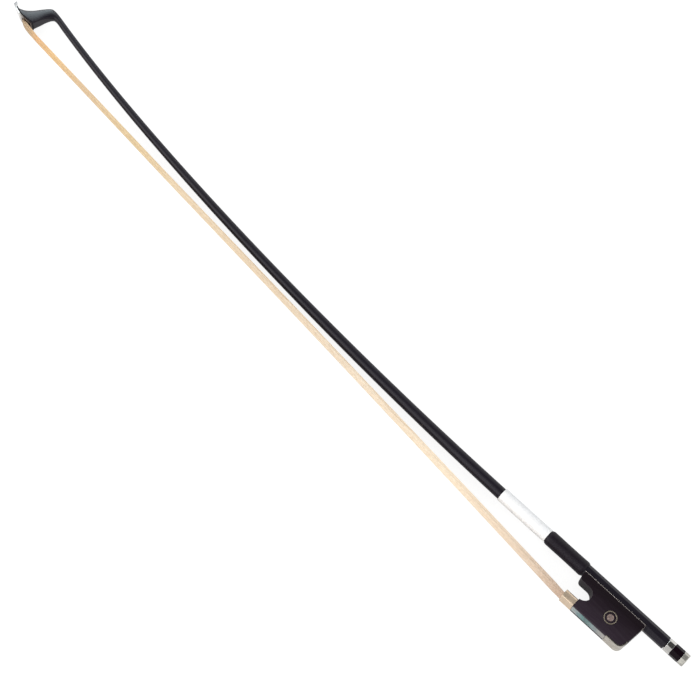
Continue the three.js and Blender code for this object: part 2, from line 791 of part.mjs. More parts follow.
// The frog's end view: a narrow rim beside the stick, then full width to the underside
function frogEndShape() {
  const side = [
    [frogRimHalfWidth, frogRimY - cutOverrun], [frogRimHalfWidth, frogRimY],
    [frogHalfWidth, frogShoulderY], [frogHalfWidth, frogBottom - frogEdge],
    [frogHalfWidth - frogEdge, frogBottom],
  ];
  const mirrored = side.map(([z, y]) => [-z, y]).reverse();
  return polygon([...side, ...mirrored]);
}

// The three lower facets of the handle's octagon, grown by a gap and stopped at a rim
function facetLine(gap, rimY) {
  const reach = halfFlats + gap;
  const rimZ = reach * Math.SQRT2 - rimY;
  const foot = reach * flatRatio;
  return [[rimZ, rimY], [foot, reach], [-foot, reach], [-rimZ, rimY]];
}

function stickChannel() {
  const rim = facetLine(channelReach - halfFlats, frogRimY);
  const [zRim] = rim[0];
  const above = [[-zRim, frogRimY - cutOverrun * 2], [zRim, frogRimY - cutOverrun * 2]];
  return endView(polygon([...rim, ...above]), frogBack - cutOverrun, ferruleFront + cutOverrun);
}

// The ferrule's end view: flat to the hair and rounded to the stick, moved inwards
function ferruleShape(inset) {
  const half = frogHalfWidth - inset;
  const bottom = frogBottom - inset;
  const corner = ferruleCorner - inset / 2;
  const crown = ferruleCrown + inset;
  const shape = new THREE.Shape();
  shape.moveTo(-half, ferruleSpringY);
  shape.lineTo(-half, bottom - corner);
  shape.quadraticCurveTo(-half, bottom, -half + corner, bottom);
  shape.lineTo(half - corner, bottom);
  shape.quadraticCurveTo(half, bottom, half, bottom - corner);
  shape.lineTo(half, ferruleSpringY);
  shape.bezierCurveTo(half, crown, half / 2, crown, 0, crown);
  shape.bezierCurveTo(-half / 2, crown, -half, crown, -half, ferruleSpringY);
  return shape;
}

// What lies outside the ferrule's end view, from one x to another
function outsideFerrule(inset, x0, x1) {
  const around = middleBlock(x0, x1, throatRoof + cutOverrun, frogBottom + cutOverrun,
    frogHalfWidth + cutOverrun);
  const kept = endView(ferruleShape(inset), x0 - cutOverrun, x1 + cutOverrun);
  return cut(around, kept);
}

function heelPlateCutter() {
  const line = heelLine(heelPlateThickness + seatGap);
  const outX = frogBack - cutOverrun;
  const outY = frogBottom + cutOverrun;
  const topY = heelPlateTopY - seatGap;
  const topX = line.at(-1)[0];
  const slotEnd = slideBack + seatGap;
  const insideY = line[0][1];
  const outline = [[slotEnd, outY], [slotEnd, insideY], ...line, [topX, topY], [outX, topY],
    [outX, outY]];
  return sideView(polygon(outline), frogHalfWidth + cutOverrun);
}

function makeHeelPlate() {
  const outer = heelLine(0);
  const inner = heelLine(heelPlateThickness);
  const outline = [
    [slideBack, frogBottom], ...outer, [outer.at(-1)[0], heelPlateTopY],
    [inner.at(-1)[0], heelPlateTopY], ...inner.reverse(),
    [slideBack, frogBottom - heelPlateThickness],
  ];
  const plate = sideView(polygon(outline), frogHalfWidth);
  return cut(plate, ...heelPinPlaces().map((z) => heelPin(z, seatGap, cutOverrun)));
}

function heelPinPlaces() {
  return [-heelPinSpacing / 2, heelPinSpacing / 2];
}

function heelPin(z, gap, overrun) {
  const y0 = frogBottom - heelPinLength - gap;
  return barY(heelPinX, z, y0, frogBottom + overrun, heelPinRadius + gap);
}

function slidePinPlaces() {
  return [frogBack + slidePinInset, frogFront - slidePinInset];
}

function slidePin(x, gap, overrun) {
  const y0 = halfFlats + runningGap;
  return barY(x, 0, y0 - overrun, y0 + slidePinLength + gap, slidePinRadius + gap);
}

function shankBar(gap, overrun) {
  return barY(eyeletX, 0, eyeletFootY - overrun, eyeletShankEnd + gap, eyeletShankRadius + gap);
}

function pearlRecess() {
  const half = pearlHalfWidth + seatGap;
  return middleBlock(slideBack, ferruleBack, pearlY - seatGap, frogBottom + cutOverrun, half);
}

function backingShape(gap) {
  const top = pearlY - seatGap + gap;
  const foot = backingY - gap;
  const side = [[backingTopHalfWidth + gap, top], [backingFootHalfWidth + gap, foot]];
  return polygon([...side, ...side.map(([z, y]) => [-z, y]).reverse()]);
}

function eyePockets() {
  return [1, -1].flatMap((side) => {
    const inner = side * (frogHalfWidth - eyeDepth - seatGap);
    const outer = side * (frogHalfWidth + cutOverrun);
    const [z0, z1] = [Math.min(inner, outer), Math.max(inner, outer)];
    const groove = cut(
      barZ(eyeX, eyeY, z0, z1, eyeRingRadius + seatGap),
      barZ(eyeX, eyeY, z0 - cutOverrun, z1 + cutOverrun, eyeRingRadius - eyeRingWidth - seatGap),
    );
    return [groove, barZ(eyeX, eyeY, z0, z1, eyePearlRadius + seatGap)];
  });
}

function makeFrogBody() {
  const blank = common(sideView(frogSideShape(), frogHalfWidth + cutOverrun),
    endView(frogEndShape(), frogBack - cutOverrun, ferruleFront + cutOverrun));
  const tenonX = ferruleBack - seatGap;
  return cut(
    blank,
    stickChannel(),
    outsideFerrule(0, ferruleBack, ferruleFront + cutOverrun),
    outsideFerrule(ferruleWall + seatGap, tenonX, ferruleFront + cutOverrun),
    middleBlock(tenonX, ferruleFront + cutOverrun, tongueFlatY, frogBottom + cutOverrun, frogHalfWidth),
    middleBlock(frogMortiseBack, frogMortiseFront, frogMortiseY, backingY, frogMortiseHalfWidth),
    middleBlock(frogMortiseBack, ferruleFront, channelY, backingY, channelHalfWidth),
    endView(backingShape(seatGap), slideBack, ferruleFront),
    pearlRecess(),
    heelPlateCutter(),
    shankBar(seatGap, cutOverrun),
    ...slidePinPlaces().map((x) => slidePin(x, seatGap, cutOverrun)),
    ...heelPinPlaces().map((z) => heelPin(z, seatGap, cutOverrun)),
    ...eyePockets(),
  );
}

function makeUnderslide() {
  const rimY = frogRimY - underslideStand;
  const inner = facetLine(runningGap, rimY);
  const outer = facetLine(runningGap + underslideThickness, rimY);
  const channel = endView(polygon([...outer, ...inner.reverse()]), frogBack, frogFront);
  return cut(channel, shankBar(seatGap, cutOverrun),
    ...slidePinPlaces().map((x) => slidePin(x, seatGap, cutOverrun)));
}

function makeEyelet() {
  const head = middleBlock(eyeletX - eyeletLength / 2, eyeletX + eyeletLength / 2, eyeletTopY,
    eyeletFootY, eyeletWidth / 2);
  const hole = barX(eyeletX - eyeletLength, eyeletX + eyeletLength, screwRadius + seatGap);
  return cut(join(head, shankBar(0, eyeletShankRadius / 2)), hole);
}

function makeFerrule() {
  const tube = endView(ferruleShape(0), ferruleBack, ferruleFront);
  const inside = endView(ferruleShape(ferruleWall), ferruleBack - cutOverrun,
    ferruleFront + cutOverrun);
  return cut(tube, inside);
}

function makeWedge() {
  const back = ferruleBack + seatGap;
  const front = ferruleFront - seatGap;
  const topY = tongueFlatY + seatGap;
  const outline = [[back, topY], [front, topY], [front, topY + wedgeThickness],
    [back, topY + wedgeThickness - wedgeTaper]];
  return sideView(polygon(outline), hairFrogHalfWidth - seatGap);
}

function makeFrogPlug() {
  const hairRoom = seatGap + hairThickness + seatGap;
  const back = frogMortiseBack + Math.max(hairRoom, 2 * frogKnotRadius + 2 * seatGap);
  return middleBlock(back, frogMortiseFront - seatGap, frogMortiseY + seatGap,
    channelY - seatGap, frogMortiseHalfWidth - seatGap);
}

function makeFrogKnot() {
  const reach = frogMortiseHalfWidth - seatGap;
  return barZ(frogMortiseBack + seatGap + frogKnotRadius, frogMortiseY + seatGap + frogKnotRadius,
    -reach, reach, frogKnotRadius, smallRoundSides);
}

function makeSlideBacking() {
  return endView(backingShape(0), slideBack + seatGap, ferruleBack - seatGap);
}

function makeSlidePearl() {
  return middleBlock(slideBack + seatGap, ferruleBack - seatGap, pearlY, frogBottom, pearlHalfWidth);
}

function makeEyeRing(side) {
  const ends = [side * (frogHalfWidth - eyeDepth), side * frogHalfWidth].sort((a, b) => a - b);
  return cut(
    barZ(eyeX, eyeY, ...ends, eyeRingRadius),
    barZ(eyeX, eyeY, ends[0] - cutOverrun, ends[1] + cutOverrun, eyeRingRadius - eyeRingWidth),
  );
}

function makeEyePearl(side) {
  const ends = [side * (frogHalfWidth - eyeDepth), side * frogHalfWidth].sort((a, b) => a - b);
  return barZ(eyeX, eyeY, ...ends, eyePearlRadius);
}

// The assembly

function piece(name, geometry, finish) {
  const mesh = new THREE.Mesh(geometry, finishes[finish]);
  mesh.name = name;
  return mesh;
}

function stickGroup() {
  const group = new THREE.Group();
  group.add(
    piece('stick', makeStick(), 'stickBlack'),
    piece('thumb_grip', makeGrip(), 'leather'),
    piece('wire_winding', makeWinding(), 'wire'),
    piece('tip_liner', makeTipLiner(), 'ebony'),
    piece('tip_plate', makeTipPlate(), 'silver'),
    piece('tip_plug', makeTipPlug(), 'maple'),
    piece('tip_hair_knot', makeTipKnot(), 'hair'),
    piece('hair_ribbon', makeHair(), 'hair'),
  );
  return group;
}

function frogGroup() {
  const [rearPinX, frontPinX] = slidePinPlaces();
  const [leftPinZ, rightPinZ] = heelPinPlaces();
  const group = new THREE.Group();
  group.add(
    piece('frog_body', makeFrogBody(), 'ebony'),
    piece('underslide', makeUnderslide(), 'nickel'),
    piece('underslide_pin_rear', slidePin(rearPinX, 0, 0), 'nickel'),
    piece('underslide_pin_front', slidePin(frontPinX, 0, 0), 'nickel'),
    piece('eyelet', makeEyelet(), 'brass'),
    piece('ferrule', makeFerrule(), 'nickel'),
    piece('spreader_wedge', makeWedge(), 'maple'),
    piece('frog_plug', makeFrogPlug(), 'maple'),
    piece('frog_hair_knot', makeFrogKnot(), 'hair'),
    piece('slide_backing', makeSlideBacking(), 'ebony'),
    piece('slide_pearl', makeSlidePearl(), 'shell'),
    piece('heel_plate', makeHeelPlate(), 'silver'),
    piece('heel_pin_far', heelPin(leftPinZ, 0, 0), 'silver'),
    piece('heel_pin_near', heelPin(rightPinZ, 0, 0), 'silver'),
    piece('eye_ring_near', makeEyeRing(1), 'nickel'),
    piece('eye_ring_far', makeEyeRing(-1), 'nickel'),
    piece('eye_pearl_near', makeEyePearl(1), 'pearl'),
    piece('eye_pearl_far', makeEyePearl(-1), 'pearl'),
  );
  return group;
}

function screwGroup() {
  const group = new THREE.Group();
  group.add(
    piece('screw_shaft', makeScrew(), 'steel'),
    piece('button_collar', makeButtonCollar(), 'silver'),
    piece('button_core', makeButtonCore(), 'ebony'),
    piece('button_cap', makeButtonCap(), 'silver'),
  );
  return group;
}

const bow = new THREE.Group();
bow.add(stickGroup(), frogGroup(), screwGroup());

const reach = new THREE.Box3().setFromObject(bow);
const middle = reach.getCenter(new THREE.Vector3());
bow.position.set(-middle.x, -middle.y, -reach.min.z);

export default bow;
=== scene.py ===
"""Looks of the cello bow: its studio, and a detailed mesh or finish for every solid."""

import logging
import math
import random
from collections.abc import Iterable, Mapping, Sequence
from dataclasses import dataclass, field
from enum import Enum

import bmesh
import bpy
from mathutils import Matrix, Vector


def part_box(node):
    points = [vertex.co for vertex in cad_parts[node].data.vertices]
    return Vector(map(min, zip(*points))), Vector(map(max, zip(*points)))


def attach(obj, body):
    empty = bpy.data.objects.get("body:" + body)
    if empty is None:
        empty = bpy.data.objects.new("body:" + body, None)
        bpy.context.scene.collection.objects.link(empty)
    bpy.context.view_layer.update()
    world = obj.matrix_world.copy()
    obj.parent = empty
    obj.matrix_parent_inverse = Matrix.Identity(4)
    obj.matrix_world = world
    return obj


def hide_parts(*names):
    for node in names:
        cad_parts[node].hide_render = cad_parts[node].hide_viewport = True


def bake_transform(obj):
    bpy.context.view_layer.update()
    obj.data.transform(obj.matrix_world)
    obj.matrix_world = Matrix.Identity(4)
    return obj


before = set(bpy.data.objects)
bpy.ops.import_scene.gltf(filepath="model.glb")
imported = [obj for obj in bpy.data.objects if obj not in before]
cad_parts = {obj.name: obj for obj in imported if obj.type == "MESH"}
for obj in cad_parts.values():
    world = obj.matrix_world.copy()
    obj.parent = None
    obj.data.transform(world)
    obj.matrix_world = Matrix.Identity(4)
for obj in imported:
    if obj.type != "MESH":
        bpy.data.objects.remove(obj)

log = logging.getLogger("cello_bow")

MM = 0.001
NOISE_LOW, NOISE_HIGH = 0.3, 0.7
ROUND_SIDES = 64
Colour = tuple[float, float, float]
Triple = tuple[float, float, float]
Section = list[Vector]
Piece = bpy.types.Object
Material = bpy.types.Material
Socket = bpy.types.NodeSocket
Source = bpy.types.NodeSocket | float | Sequence[float]
Stops = tuple[tuple[float, Colour | float], ...]
Rows = tuple[tuple[str | float, ...], ...]


# Measures and small sums

@dataclass(frozen=True)
class BowPlace:
    """Turns the bow's own measures, in millimetres from the button's end, into metres."""

    origin: Vector

    @classmethod
    def from_button(cls) -> "BowPlace":
        """Finds the button's end and the stick's axis in the loaded frame.

        Returns:
            The place of the bow's own measures.
        """
        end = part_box("button_cap")[0][0]
        low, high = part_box("button_core")
        return cls(Vector((end, (low[1] + high[1]) / 2, (low[2] + high[2]) / 2)))

    def at(self, x: float, y: float, z: float = 0.0) -> Vector:
        """A point of the bow, in metres."""
        return self.origin + Vector((x, y, z)) * MM


def lerp(a: float, b: float, share: float) -> float:
    """The number at a share of the way from a to b."""
    return a + (b - a) * share


def clamp(value: float) -> float:
    """The value kept from 0 to 1."""
    return min(1.0, max(0.0, value))


def turns(count: int) -> list[float]:
    """Evenly spaced angles, once round."""
    return [k * math.tau / count for k in range(count)]


def circle(x: float, radius: float, sides: int = ROUND_SIDES) -> Section:
    """A round section square to X."""
    return [Vector((x, math.cos(a) * radius, math.sin(a) * radius)) for a in turns(sides)]


def cord(centre: Vector, up: Vector, side: Vector,
         section: Iterable[tuple[float, float]]) -> Section:
    """A section of a cord: points so far to the side of its middle, and so far up from it."""
    return [centre + up * rise + side * wide for wide, rise in section]


def curve_through(values: Sequence[float], position: float) -> float:
    """Reads a smooth curve through evenly spaced values.

    Args:
        values: The values, at 0, 1, 2 and so on.
        position: Where the curve is read.

    Returns:
        The value there, which never leaves the range of its two neighbours by much.
    """
    last = len(values) - 1
    position = min(float(last), max(0.0, position))
    i = min(last - 1, int(position))
    t = position - i
    before, a, b, after = (values[min(last, max(0, i + k))] for k in (-1, 0, 1, 2))
    return 0.5 * (2 * a + (b - before) * t + (2 * before - 5 * a + 4 * b - after) * t * t
                  + (3 * a - before - 3 * b + after) * t ** 3)


def bezier(a: Vector, b: Vector, c: Vector, steps: int) -> list[Vector]:
    """Points along a curve from a to c that leans towards b."""
    shares = [k / steps for k in range(steps + 1)]
    return [a * (1 - t) ** 2 + b * (2 * t * (1 - t)) + c * t * t for t in shares]


# Meshes

@dataclass
class Draft:
    """A mesh under construction, in the bow's own millimetres."""

    place: BowPlace
    points: list[Vector] = field(default_factory=list)
    faces: list[tuple[int, ...]] = field(default_factory=list)

    def loft(self, sections: Sequence[Section], looped: bool = False) -> "Draft":
        """Lays a skin over a row of sections.

        Args:
            sections: The sections, of as many points each.
            looped: Whether the last one joins the first. Otherwise both are filled.

        Returns:
            The draft itself.
        """
        rings = []
        for section in sections:
            first = len(self.points)
            self.points.extend(section)
            rings.append(range(first, len(self.points)))
        for near, far in zip(rings, rings[1:] + rings[:looped]):
            for i in range(len(near)):
                j = (i + 1) % len(near)
                self.faces.append((near[i], near[j], far[j], far[i]))
        if not looped:
            self.faces += [tuple(reversed(rings[0])), tuple(rings[-1])]
        return self

    def prism(self, outline: Sequence[tuple[float, float]], half: float) -> "Draft":
        """Adds a side view, drawn in X and Y, as far to either side."""
        return self.loft([[Vector((x, y, z)) for x, y in outline] for z in (-half, half)])

    def block(self, xs: Sequence[float], ys: Sequence[float], half: float) -> "Draft":
        """Adds a block between two places along X and along Y."""
        return self.prism([(xs[0], ys[0]), (xs[1], ys[0]), (xs[1], ys[1]), (xs[0], ys[1])], half)

    def piece(self, name: str, crease: float = 35.0) -> Piece:
        """Turns the draft into an object in the row frame.

        Args:
            name: The object's name.
            crease: Edges sharper than this, in degrees, stay crisp.

        Returns:
            The object.
        """
        mesh = bpy.data.meshes.new(name)
        mesh.from_pydata([self.place.at(*point) for point in self.points], [], self.faces)
        mesh.update()
        shell = bmesh.new()
        shell.from_mesh(mesh)
        bmesh.ops.recalc_face_normals(shell, faces=shell.faces)
        shell.to_mesh(mesh)
        shell.free()
        shade(mesh, crease)
        return put(name, mesh)


def put(name: str, data: bpy.types.ID) -> Piece:
    """Adds an object to the scene.

    Args:
        name: The object's name.
        data: Its mesh, lamp or camera.

    Returns:
        The object.
    """
    piece = bpy.data.objects.new(name, data)
    bpy.context.scene.collection.objects.link(piece)
    return piece


def shade(mesh: bpy.types.Mesh, crease: float) -> None:
    """Shades a mesh smooth between its sharper edges."""
    mesh.shade_smooth()
    mesh.set_sharp_from_angle(angle=math.radians(crease))


def applied(piece: Piece) -> None:
    """Applies modifiers.

    Args:
        piece: The piece, whose mesh is replaced.
    """
    bpy.context.view_layer.update()
    graph = bpy.context.evaluated_depsgraph_get()
    old, mesh = piece.data, bpy.data.meshes.new_from_object(piece.evaluated_get(graph))
    piece.modifiers.clear()
    piece.data = mesh
    bpy.data.meshes.remove(old)


def carve(piece: Piece, cutters: Sequence[Piece], crease: float) -> None:
    """Cuts shapes out of a piece, and removes the cutters.

    Args:
        piece: What is cut.
        cutters: What is taken away.
        crease: Edges sharper than this, in degrees, stay crisp.
    """
    for cutter in cutters:
        change = piece.modifiers.new(cutter.name, "BOOLEAN")
        change.operation, change.solver, change.object = "DIFFERENCE", "EXACT", cutter
    applied(piece)
    shade(piece.data, crease)
    for cutter in cutters:
        mesh = cutter.data
        bpy.data.objects.remove(cutter)
        bpy.data.meshes.remove(mesh)


# Colours and node trees

def screen(red: int, green: int, blue: int) -> Colour:
    """A screen colour from 0 to 255, as light."""
    shares = [part / 255 for part in (red, green, blue)]
    return tuple(s / 12.92 if s <= 0.04045 else ((s + 0.055) / 1.055) ** 2.4 for s in shares)


def tones(*rows: tuple[float, int, int, int]) -> Stops:
    """Colour stops from rows of a place and a screen colour."""
    return tuple((place, screen(*colour)) for place, *colour in rows)


class Palette(Enum):
    """Pairs of colours that vary over one material, read from the photograph."""

    COMPOSITE = screen(20, 15, 26), screen(25, 21, 32)
    LEATHER = screen(12, 4, 15), screen(19, 8, 23)
    WIRE = screen(252, 252, 254), screen(255, 255, 255)
    NICKEL = screen(236, 213, 186), screen(240, 218, 192)
    SILVER = screen(226, 223, 217), screen(238, 236, 232)
    CAP = screen(192, 190, 182), screen(206, 204, 196)
    HEEL = screen(186, 176, 163), screen(204, 198, 187)
    # the underslide's nickel, brightened: painted light that makes up for the shade in the narrow
    # gap where it shows
    SLIDE = screen(236, 226, 219), screen(248, 240, 234)
    RING = screen(190, 178, 158), screen(206, 194, 174)
    STEEL = screen(120, 121, 124), screen(186, 188, 190)
    BRASS = screen(150, 112, 54), screen(205, 165, 88)
    EBONY = screen(43, 33, 43), screen(52, 43, 52)
    CORE = screen(19, 8, 16), screen(19, 8, 16)
    LINER = screen(19, 8, 16), screen(26, 21, 22)
    THREAD = screen(206, 176, 138), screen(226, 214, 190)
    MAPLE = screen(214, 180, 132), screen(178, 138, 90)

    def over(self, low: float, high: float) -> Stops:
        """The pair as colour stops at two places."""
        return (low, self.value[0]), (high, self.value[1])


class Nodes:
    """A node tree that is filled one node at a time."""

    def __init__(self, tree: bpy.types.NodeTree) -> None:
        """Starts with an empty tree."""
        self.tree = tree
        tree.nodes.clear()

    def fill(self, node: bpy.types.Node, sources: Mapping[str | int, Source]) -> None:
        """Links or sets a node's sockets.

        Args:
            node: The node.
            sources: A link or a value for each socket, by the socket's name or number.
        """
        for key, source in sources.items():
            socket = node.inputs[key]
            if isinstance(source, Socket):
                self.tree.links.new(source, socket)
            else:
                socket.default_value = (*source, 1) if socket.type == "RGBA" else source

    def add(self, kind: str, sources: Mapping[str | int, Source] | None = None,
            **settings: object) -> bpy.types.Node:
        """Adds a node.

        Args:
            kind: The node's kind, without its prefix.
            sources: A link or a value for its sockets, by name or number.
            settings: Its properties.

        Returns:
            The node.
        """
        node = self.tree.nodes.new("ShaderNode" + kind)
        for key, value in settings.items():
            setattr(node, key, value)
        self.fill(node, sources or {})
        return node

    def math(self, operation: str, *sources: Source) -> Socket:
        """Works out one number from others."""
        return self.add("Math", dict(enumerate(sources)), operation=operation).outputs[0]

    def axis(self, place: Socket, name: str) -> Socket:
        """One coordinate of a place: X, Y or Z."""
        return self.add("SeparateXYZ", {0: place}).outputs[name]

    def ramp(self, value: Socket, stops: Stops | Sequence[tuple[float, float]]) -> Socket:
        """Turns a value into a colour or a brightness.

        Args:
            value: The value, from 0 to 1.
            stops: Each stop's place, in rising order, and its colour or brightness.

        Returns:
            The colour.
        """
        node = self.add("ValToRGB", {0: value})
        elements = node.color_ramp.elements
        for element, (position, _) in zip(elements, (stops[0], stops[-1])):
            element.position = position
        for position, _ in stops[1:-1]:
            elements.new(position)
        for element, (_, tone) in zip(elements, stops):
            element.color = (*tone, 1) if isinstance(tone, tuple) else (tone, tone, tone, 1)
        return node.outputs[0]


class Shader(Nodes):
    """One material's nodes, round a single surface shader."""

    def __init__(self, name: str, metallic: float = 0.0, specular: float = 0.5) -> None:
        """Starts a material.

        Args:
            name: The material's name.
            metallic: How metallic the surface is.
            specular: The strength of its reflections where it isn't metal.
        """
        self.material = bpy.data.materials.new(name)
        self.material.use_nodes = True
        super().__init__(self.material.node_tree)
        self.surface = self.add("BsdfPrincipled", {"Metallic": metallic,
                                                   "Specular IOR Level": specular})
        self.add("OutputMaterial", {"Surface": self.surface.outputs[0]})

    def place(self, stretch: Triple = (1, 1, 1), start: Vector | None = None) -> Socket:
        """Gives the place on the object in metres.

        Args:
            stretch: What each axis is multiplied by.
            start: The point that counts as zero.

        Returns:
            The stretched place.
        """
        sources = {"Vector": self.add("TexCoord").outputs["Object"],
                   "Location": start or Vector(), "Scale": [1 / s for s in stretch]}
        return self.add("Mapping", sources, vector_type="TEXTURE").outputs["Vector"]

    def spread(self, value: Socket, *numbers: float) -> Socket:
        """Moves a value from one range to another, and keeps it in that."""
        names = ("From Min", "From Max", "To Min", "To Max")
        return self.add("MapRange", {"Value": value, **dict(zip(names, numbers))}).outputs["Result"]

    def graded(self, pattern: Socket, low: float, high: float) -> Socket:
        """Spreads what a cloudy pattern mostly holds over a range."""
        return self.spread(pattern, NOISE_LOW, NOISE_HIGH, low, high)

    def blend(self, share: Socket, first: Source, second: Source, way: str = "MIX") -> Socket:
        """Mixes two colours, with a share of the second."""
        return self.add("Mix", {0: share, 6: first, 7: second}, data_type="RGBA",
                        blend_type=way).outputs[2]

    def bump(self, height: Socket, millimetres: float) -> None:
        """Raises the surface by a pattern, over any earlier one.

        Args:
            height: The pattern.
            millimetres: How high it is.
        """
        normal = self.surface.inputs["Normal"]
        below = {"Normal": normal.links[0].from_socket} if normal.is_linked else {}
        node = self.add("Bump", {"Height": height, "Strength": 1.0,
                                 "Distance": millimetres * MM, **below})
        self.fill(self.surface, {"Normal": node.outputs["Normal"]})


# Finishes

@dataclass(frozen=True)
class Pattern:
    """A cloudy pattern: how each axis is multiplied, its fineness, detail, swirl and start."""

    stretch: Triple = (1, 1, 1)
    scale: float = 260
    detail: float = 4
    swirl: float = 0
    start: Vector | None = None

    def on(self, shader: Shader) -> Socket:
        """Reads the pattern on a material's surface, from 0 to 1."""
        sources = {"Vector": shader.place(self.stretch, self.start), "Scale": self.scale,
                   "Detail": self.detail, "Distortion": self.swirl}
        return shader.add("TexNoise", sources).outputs["Fac"]

    def cells(self, shader: Shader) -> Socket:
        """Reads the distance to the middles of cells that are as fine."""
        sources = {"Vector": shader.place(self.stretch), "Scale": self.scale}
        return shader.add("TexVoronoi", sources).outputs["Distance"]


@dataclass(frozen=True)
class Finish:
    """A surface that its grain roughens and raises, and that its cloud, or else its grain, colours.

    The roughness runs over grain_span of the grain. Pores, if any, are as deep as pore_mm and as
    wide as pore_reach of a cell. A clear coat has a weight and a roughness.
    """

    name: str
    stops: Stops
    grain: Pattern
    roughness: tuple[float, float]
    specular: float = 0.5
    metallic: float = 0.0
    cloud: Pattern | None = None
    grain_span: tuple[float, float] = (NOISE_LOW, NOISE_HIGH)
    grain_mm: float = 0.0
    pores: Pattern | None = None
    pore_reach: float = 1.0
    pore_mm: float = 0.0
    coat: tuple[float, float] | None = None

    def colour(self, shader: Shader, cloud: Socket, grain: Socket) -> Socket:
        """The surface's colour."""
        return shader.ramp(cloud, self.stops)

    def gloss(self, shader: Shader, cloud: Socket, grain: Socket) -> Socket:
        """The surface's roughness."""
        return shader.spread(grain, *self.grain_span, *self.roughness)

    def material(self) -> Material:
        """Makes the material.

        Returns:
            The material.
        """
        shader = Shader(self.name, self.metallic, self.specular)
        grain = self.grain.on(shader)
        cloud = self.cloud.on(shader) if self.cloud else grain
        shader.fill(shader.surface, {"Base Color": self.colour(shader, cloud, grain),
                                     "Roughness": self.gloss(shader, cloud, grain)})
        if self.grain_mm:
            shader.bump(grain, self.grain_mm)
        if self.pores:
            pores = shader.spread(self.pores.cells(shader), 0.0, self.pore_reach, 0.0, 1.0)
            shader.bump(pores, self.pore_mm)
        if self.coat:
            weight, roughness = self.coat
            shader.fill(shader.surface, {"Coat Weight": weight, "Coat Roughness": roughness})
        return shader.material


@dataclass(frozen=True, kw_only=True)
class Metal(Finish):
    """A polished or brushed metal, with faint scratches and duller patches."""

    grain: Pattern = Pattern((0.08, 1, 1), 5200, 2)
    cloud: Pattern = Pattern()
    roughness: tuple[float, float] = (-0.03, 0.05)
    grain_span: tuple[float, float] = (0.35, 0.65)
    grain_mm: float = 0.006
    metallic: float = 1.0
    even: float

    def gloss(self, shader: Shader, cloud: Socket, grain: Socket) -> Socket:
        """The surface's roughness: an even one, changed by the patches and the scratches."""
        worn = shader.math("ADD", shader.graded(cloud, 0.03, -0.02), self.even)
        return shader.math("ADD", super().gloss(shader, cloud, grain), worn)


@dataclass(frozen=True, kw_only=True)
class Ebony(Finish):
    """Polished ebony with short dark pores and streaks along the bow, with painted shade that
    darkens it towards the stick.
    """

    grain: Pattern = Pattern((0.07, 1, 1), 900, 5, 0.2)
    roughness: tuple[float, float] = (0.4, 0.54)
    pores: Pattern = Pattern((0.06, 1, 1), 2300)
    pore_reach: float = 0.22
    pore_mm: float = 0.02
    painted_shade_from: Vector | None = None
    painted_shade_depth: float = 0.018

    def colour(self, shader: Shader, cloud: Socket, grain: Socket) -> Socket:
        """The surface's colour, with painted shade that is darkest at a place and fades away over a
        depth.

        Args:
            shader: The material's nodes.
            cloud: What colours it.
            grain: Its grain.

        Returns:
            The colour.
        """
        colour = super().colour(shader, cloud, grain)
        if self.painted_shade_from is None:
            return colour
        # painted shade: darkest at the start place, fading to the plain colour over the depth
        depth = shader.axis(shader.place(start=self.painted_shade_from), "Y")
        light = shader.spread(depth, 0.0, self.painted_shade_depth, 0.0, 1.0)
        return shader.blend(light, Palette.CORE.value[0], colour)


@dataclass(frozen=True, kw_only=True)
class Pearl(Finish):
    """Pinkish grey mother-of-pearl with soft waves."""

    tint: Pattern = Pattern(scale=900, detail=2, swirl=1)
    cool: Colour = screen(120, 132, 134)

    def colour(self, shader: Shader, cloud: Socket, grain: Socket) -> Socket:
        """The waves' colour, with cooler patches."""
        cool = shader.spread(self.tint.on(shader), 0.5, 0.7, 0.0, 0.3)
        return shader.blend(cool, super().colour(shader, cloud, grain), self.cool)


@dataclass(frozen=True, kw_only=True)
class AlongBow(Finish):
    """A finish whose colours follow the bow from a start, for so many millimetres."""

    start: Vector
    length: float

    def run(self, shader: Shader) -> Socket:
        """How far along the length a place lies, from 0 to 1."""
        place = shader.place(start=self.start)
        return shader.math("DIVIDE", shader.axis(place, "X"), self.length * MM)

    def colour(self, shader: Shader, cloud: Socket, grain: Socket) -> Socket:
        """The colour at the place along the bow."""
        return shader.ramp(self.run(shader), self.stops)


@dataclass(frozen=True, kw_only=True)
class Horsehair(AlongBow):
    """Unbleached horsehair, in which single hairs differ in tone."""

    def colour(self, shader: Shader, cloud: Socket, grain: Socket) -> Socket:
        """The colour along the bow, darker on some hairs."""
        darker = shader.spread(grain, 0.35, 0.6, 0.4, 0.0)
        return shader.blend(darker, super().colour(shader, cloud, grain),
                            Palette.THREAD.value[0], "MULTIPLY")


@dataclass(frozen=True, kw_only=True)
class Abalone(AlongBow):
    """Abalone shell: bands of grey, teal and blue-grey that swirl across the slide."""

    vein: Colour = screen(98, 116, 110)

    def colour(self, shader: Shader, cloud: Socket, grain: Socket) -> Socket:
        """The bands along the slide, moved by both patterns and crossed by veins.

        Args:
            shader: The material's nodes.
            cloud: The swirl.
            grain: The fine layers.

        Returns:
            The colour.
        """
        moved = shader.math("ADD", self.run(shader), shader.spread(cloud, 0.25, 0.75, -0.09, 0.09))
        moved = shader.math("ADD", moved, shader.graded(grain, -0.07, 0.07))
        veins = shader.spread(grain, 0.42, 0.5, 0.0, 0.2)
        return shader.blend(veins, shader.ramp(moved, self.stops), self.vein)


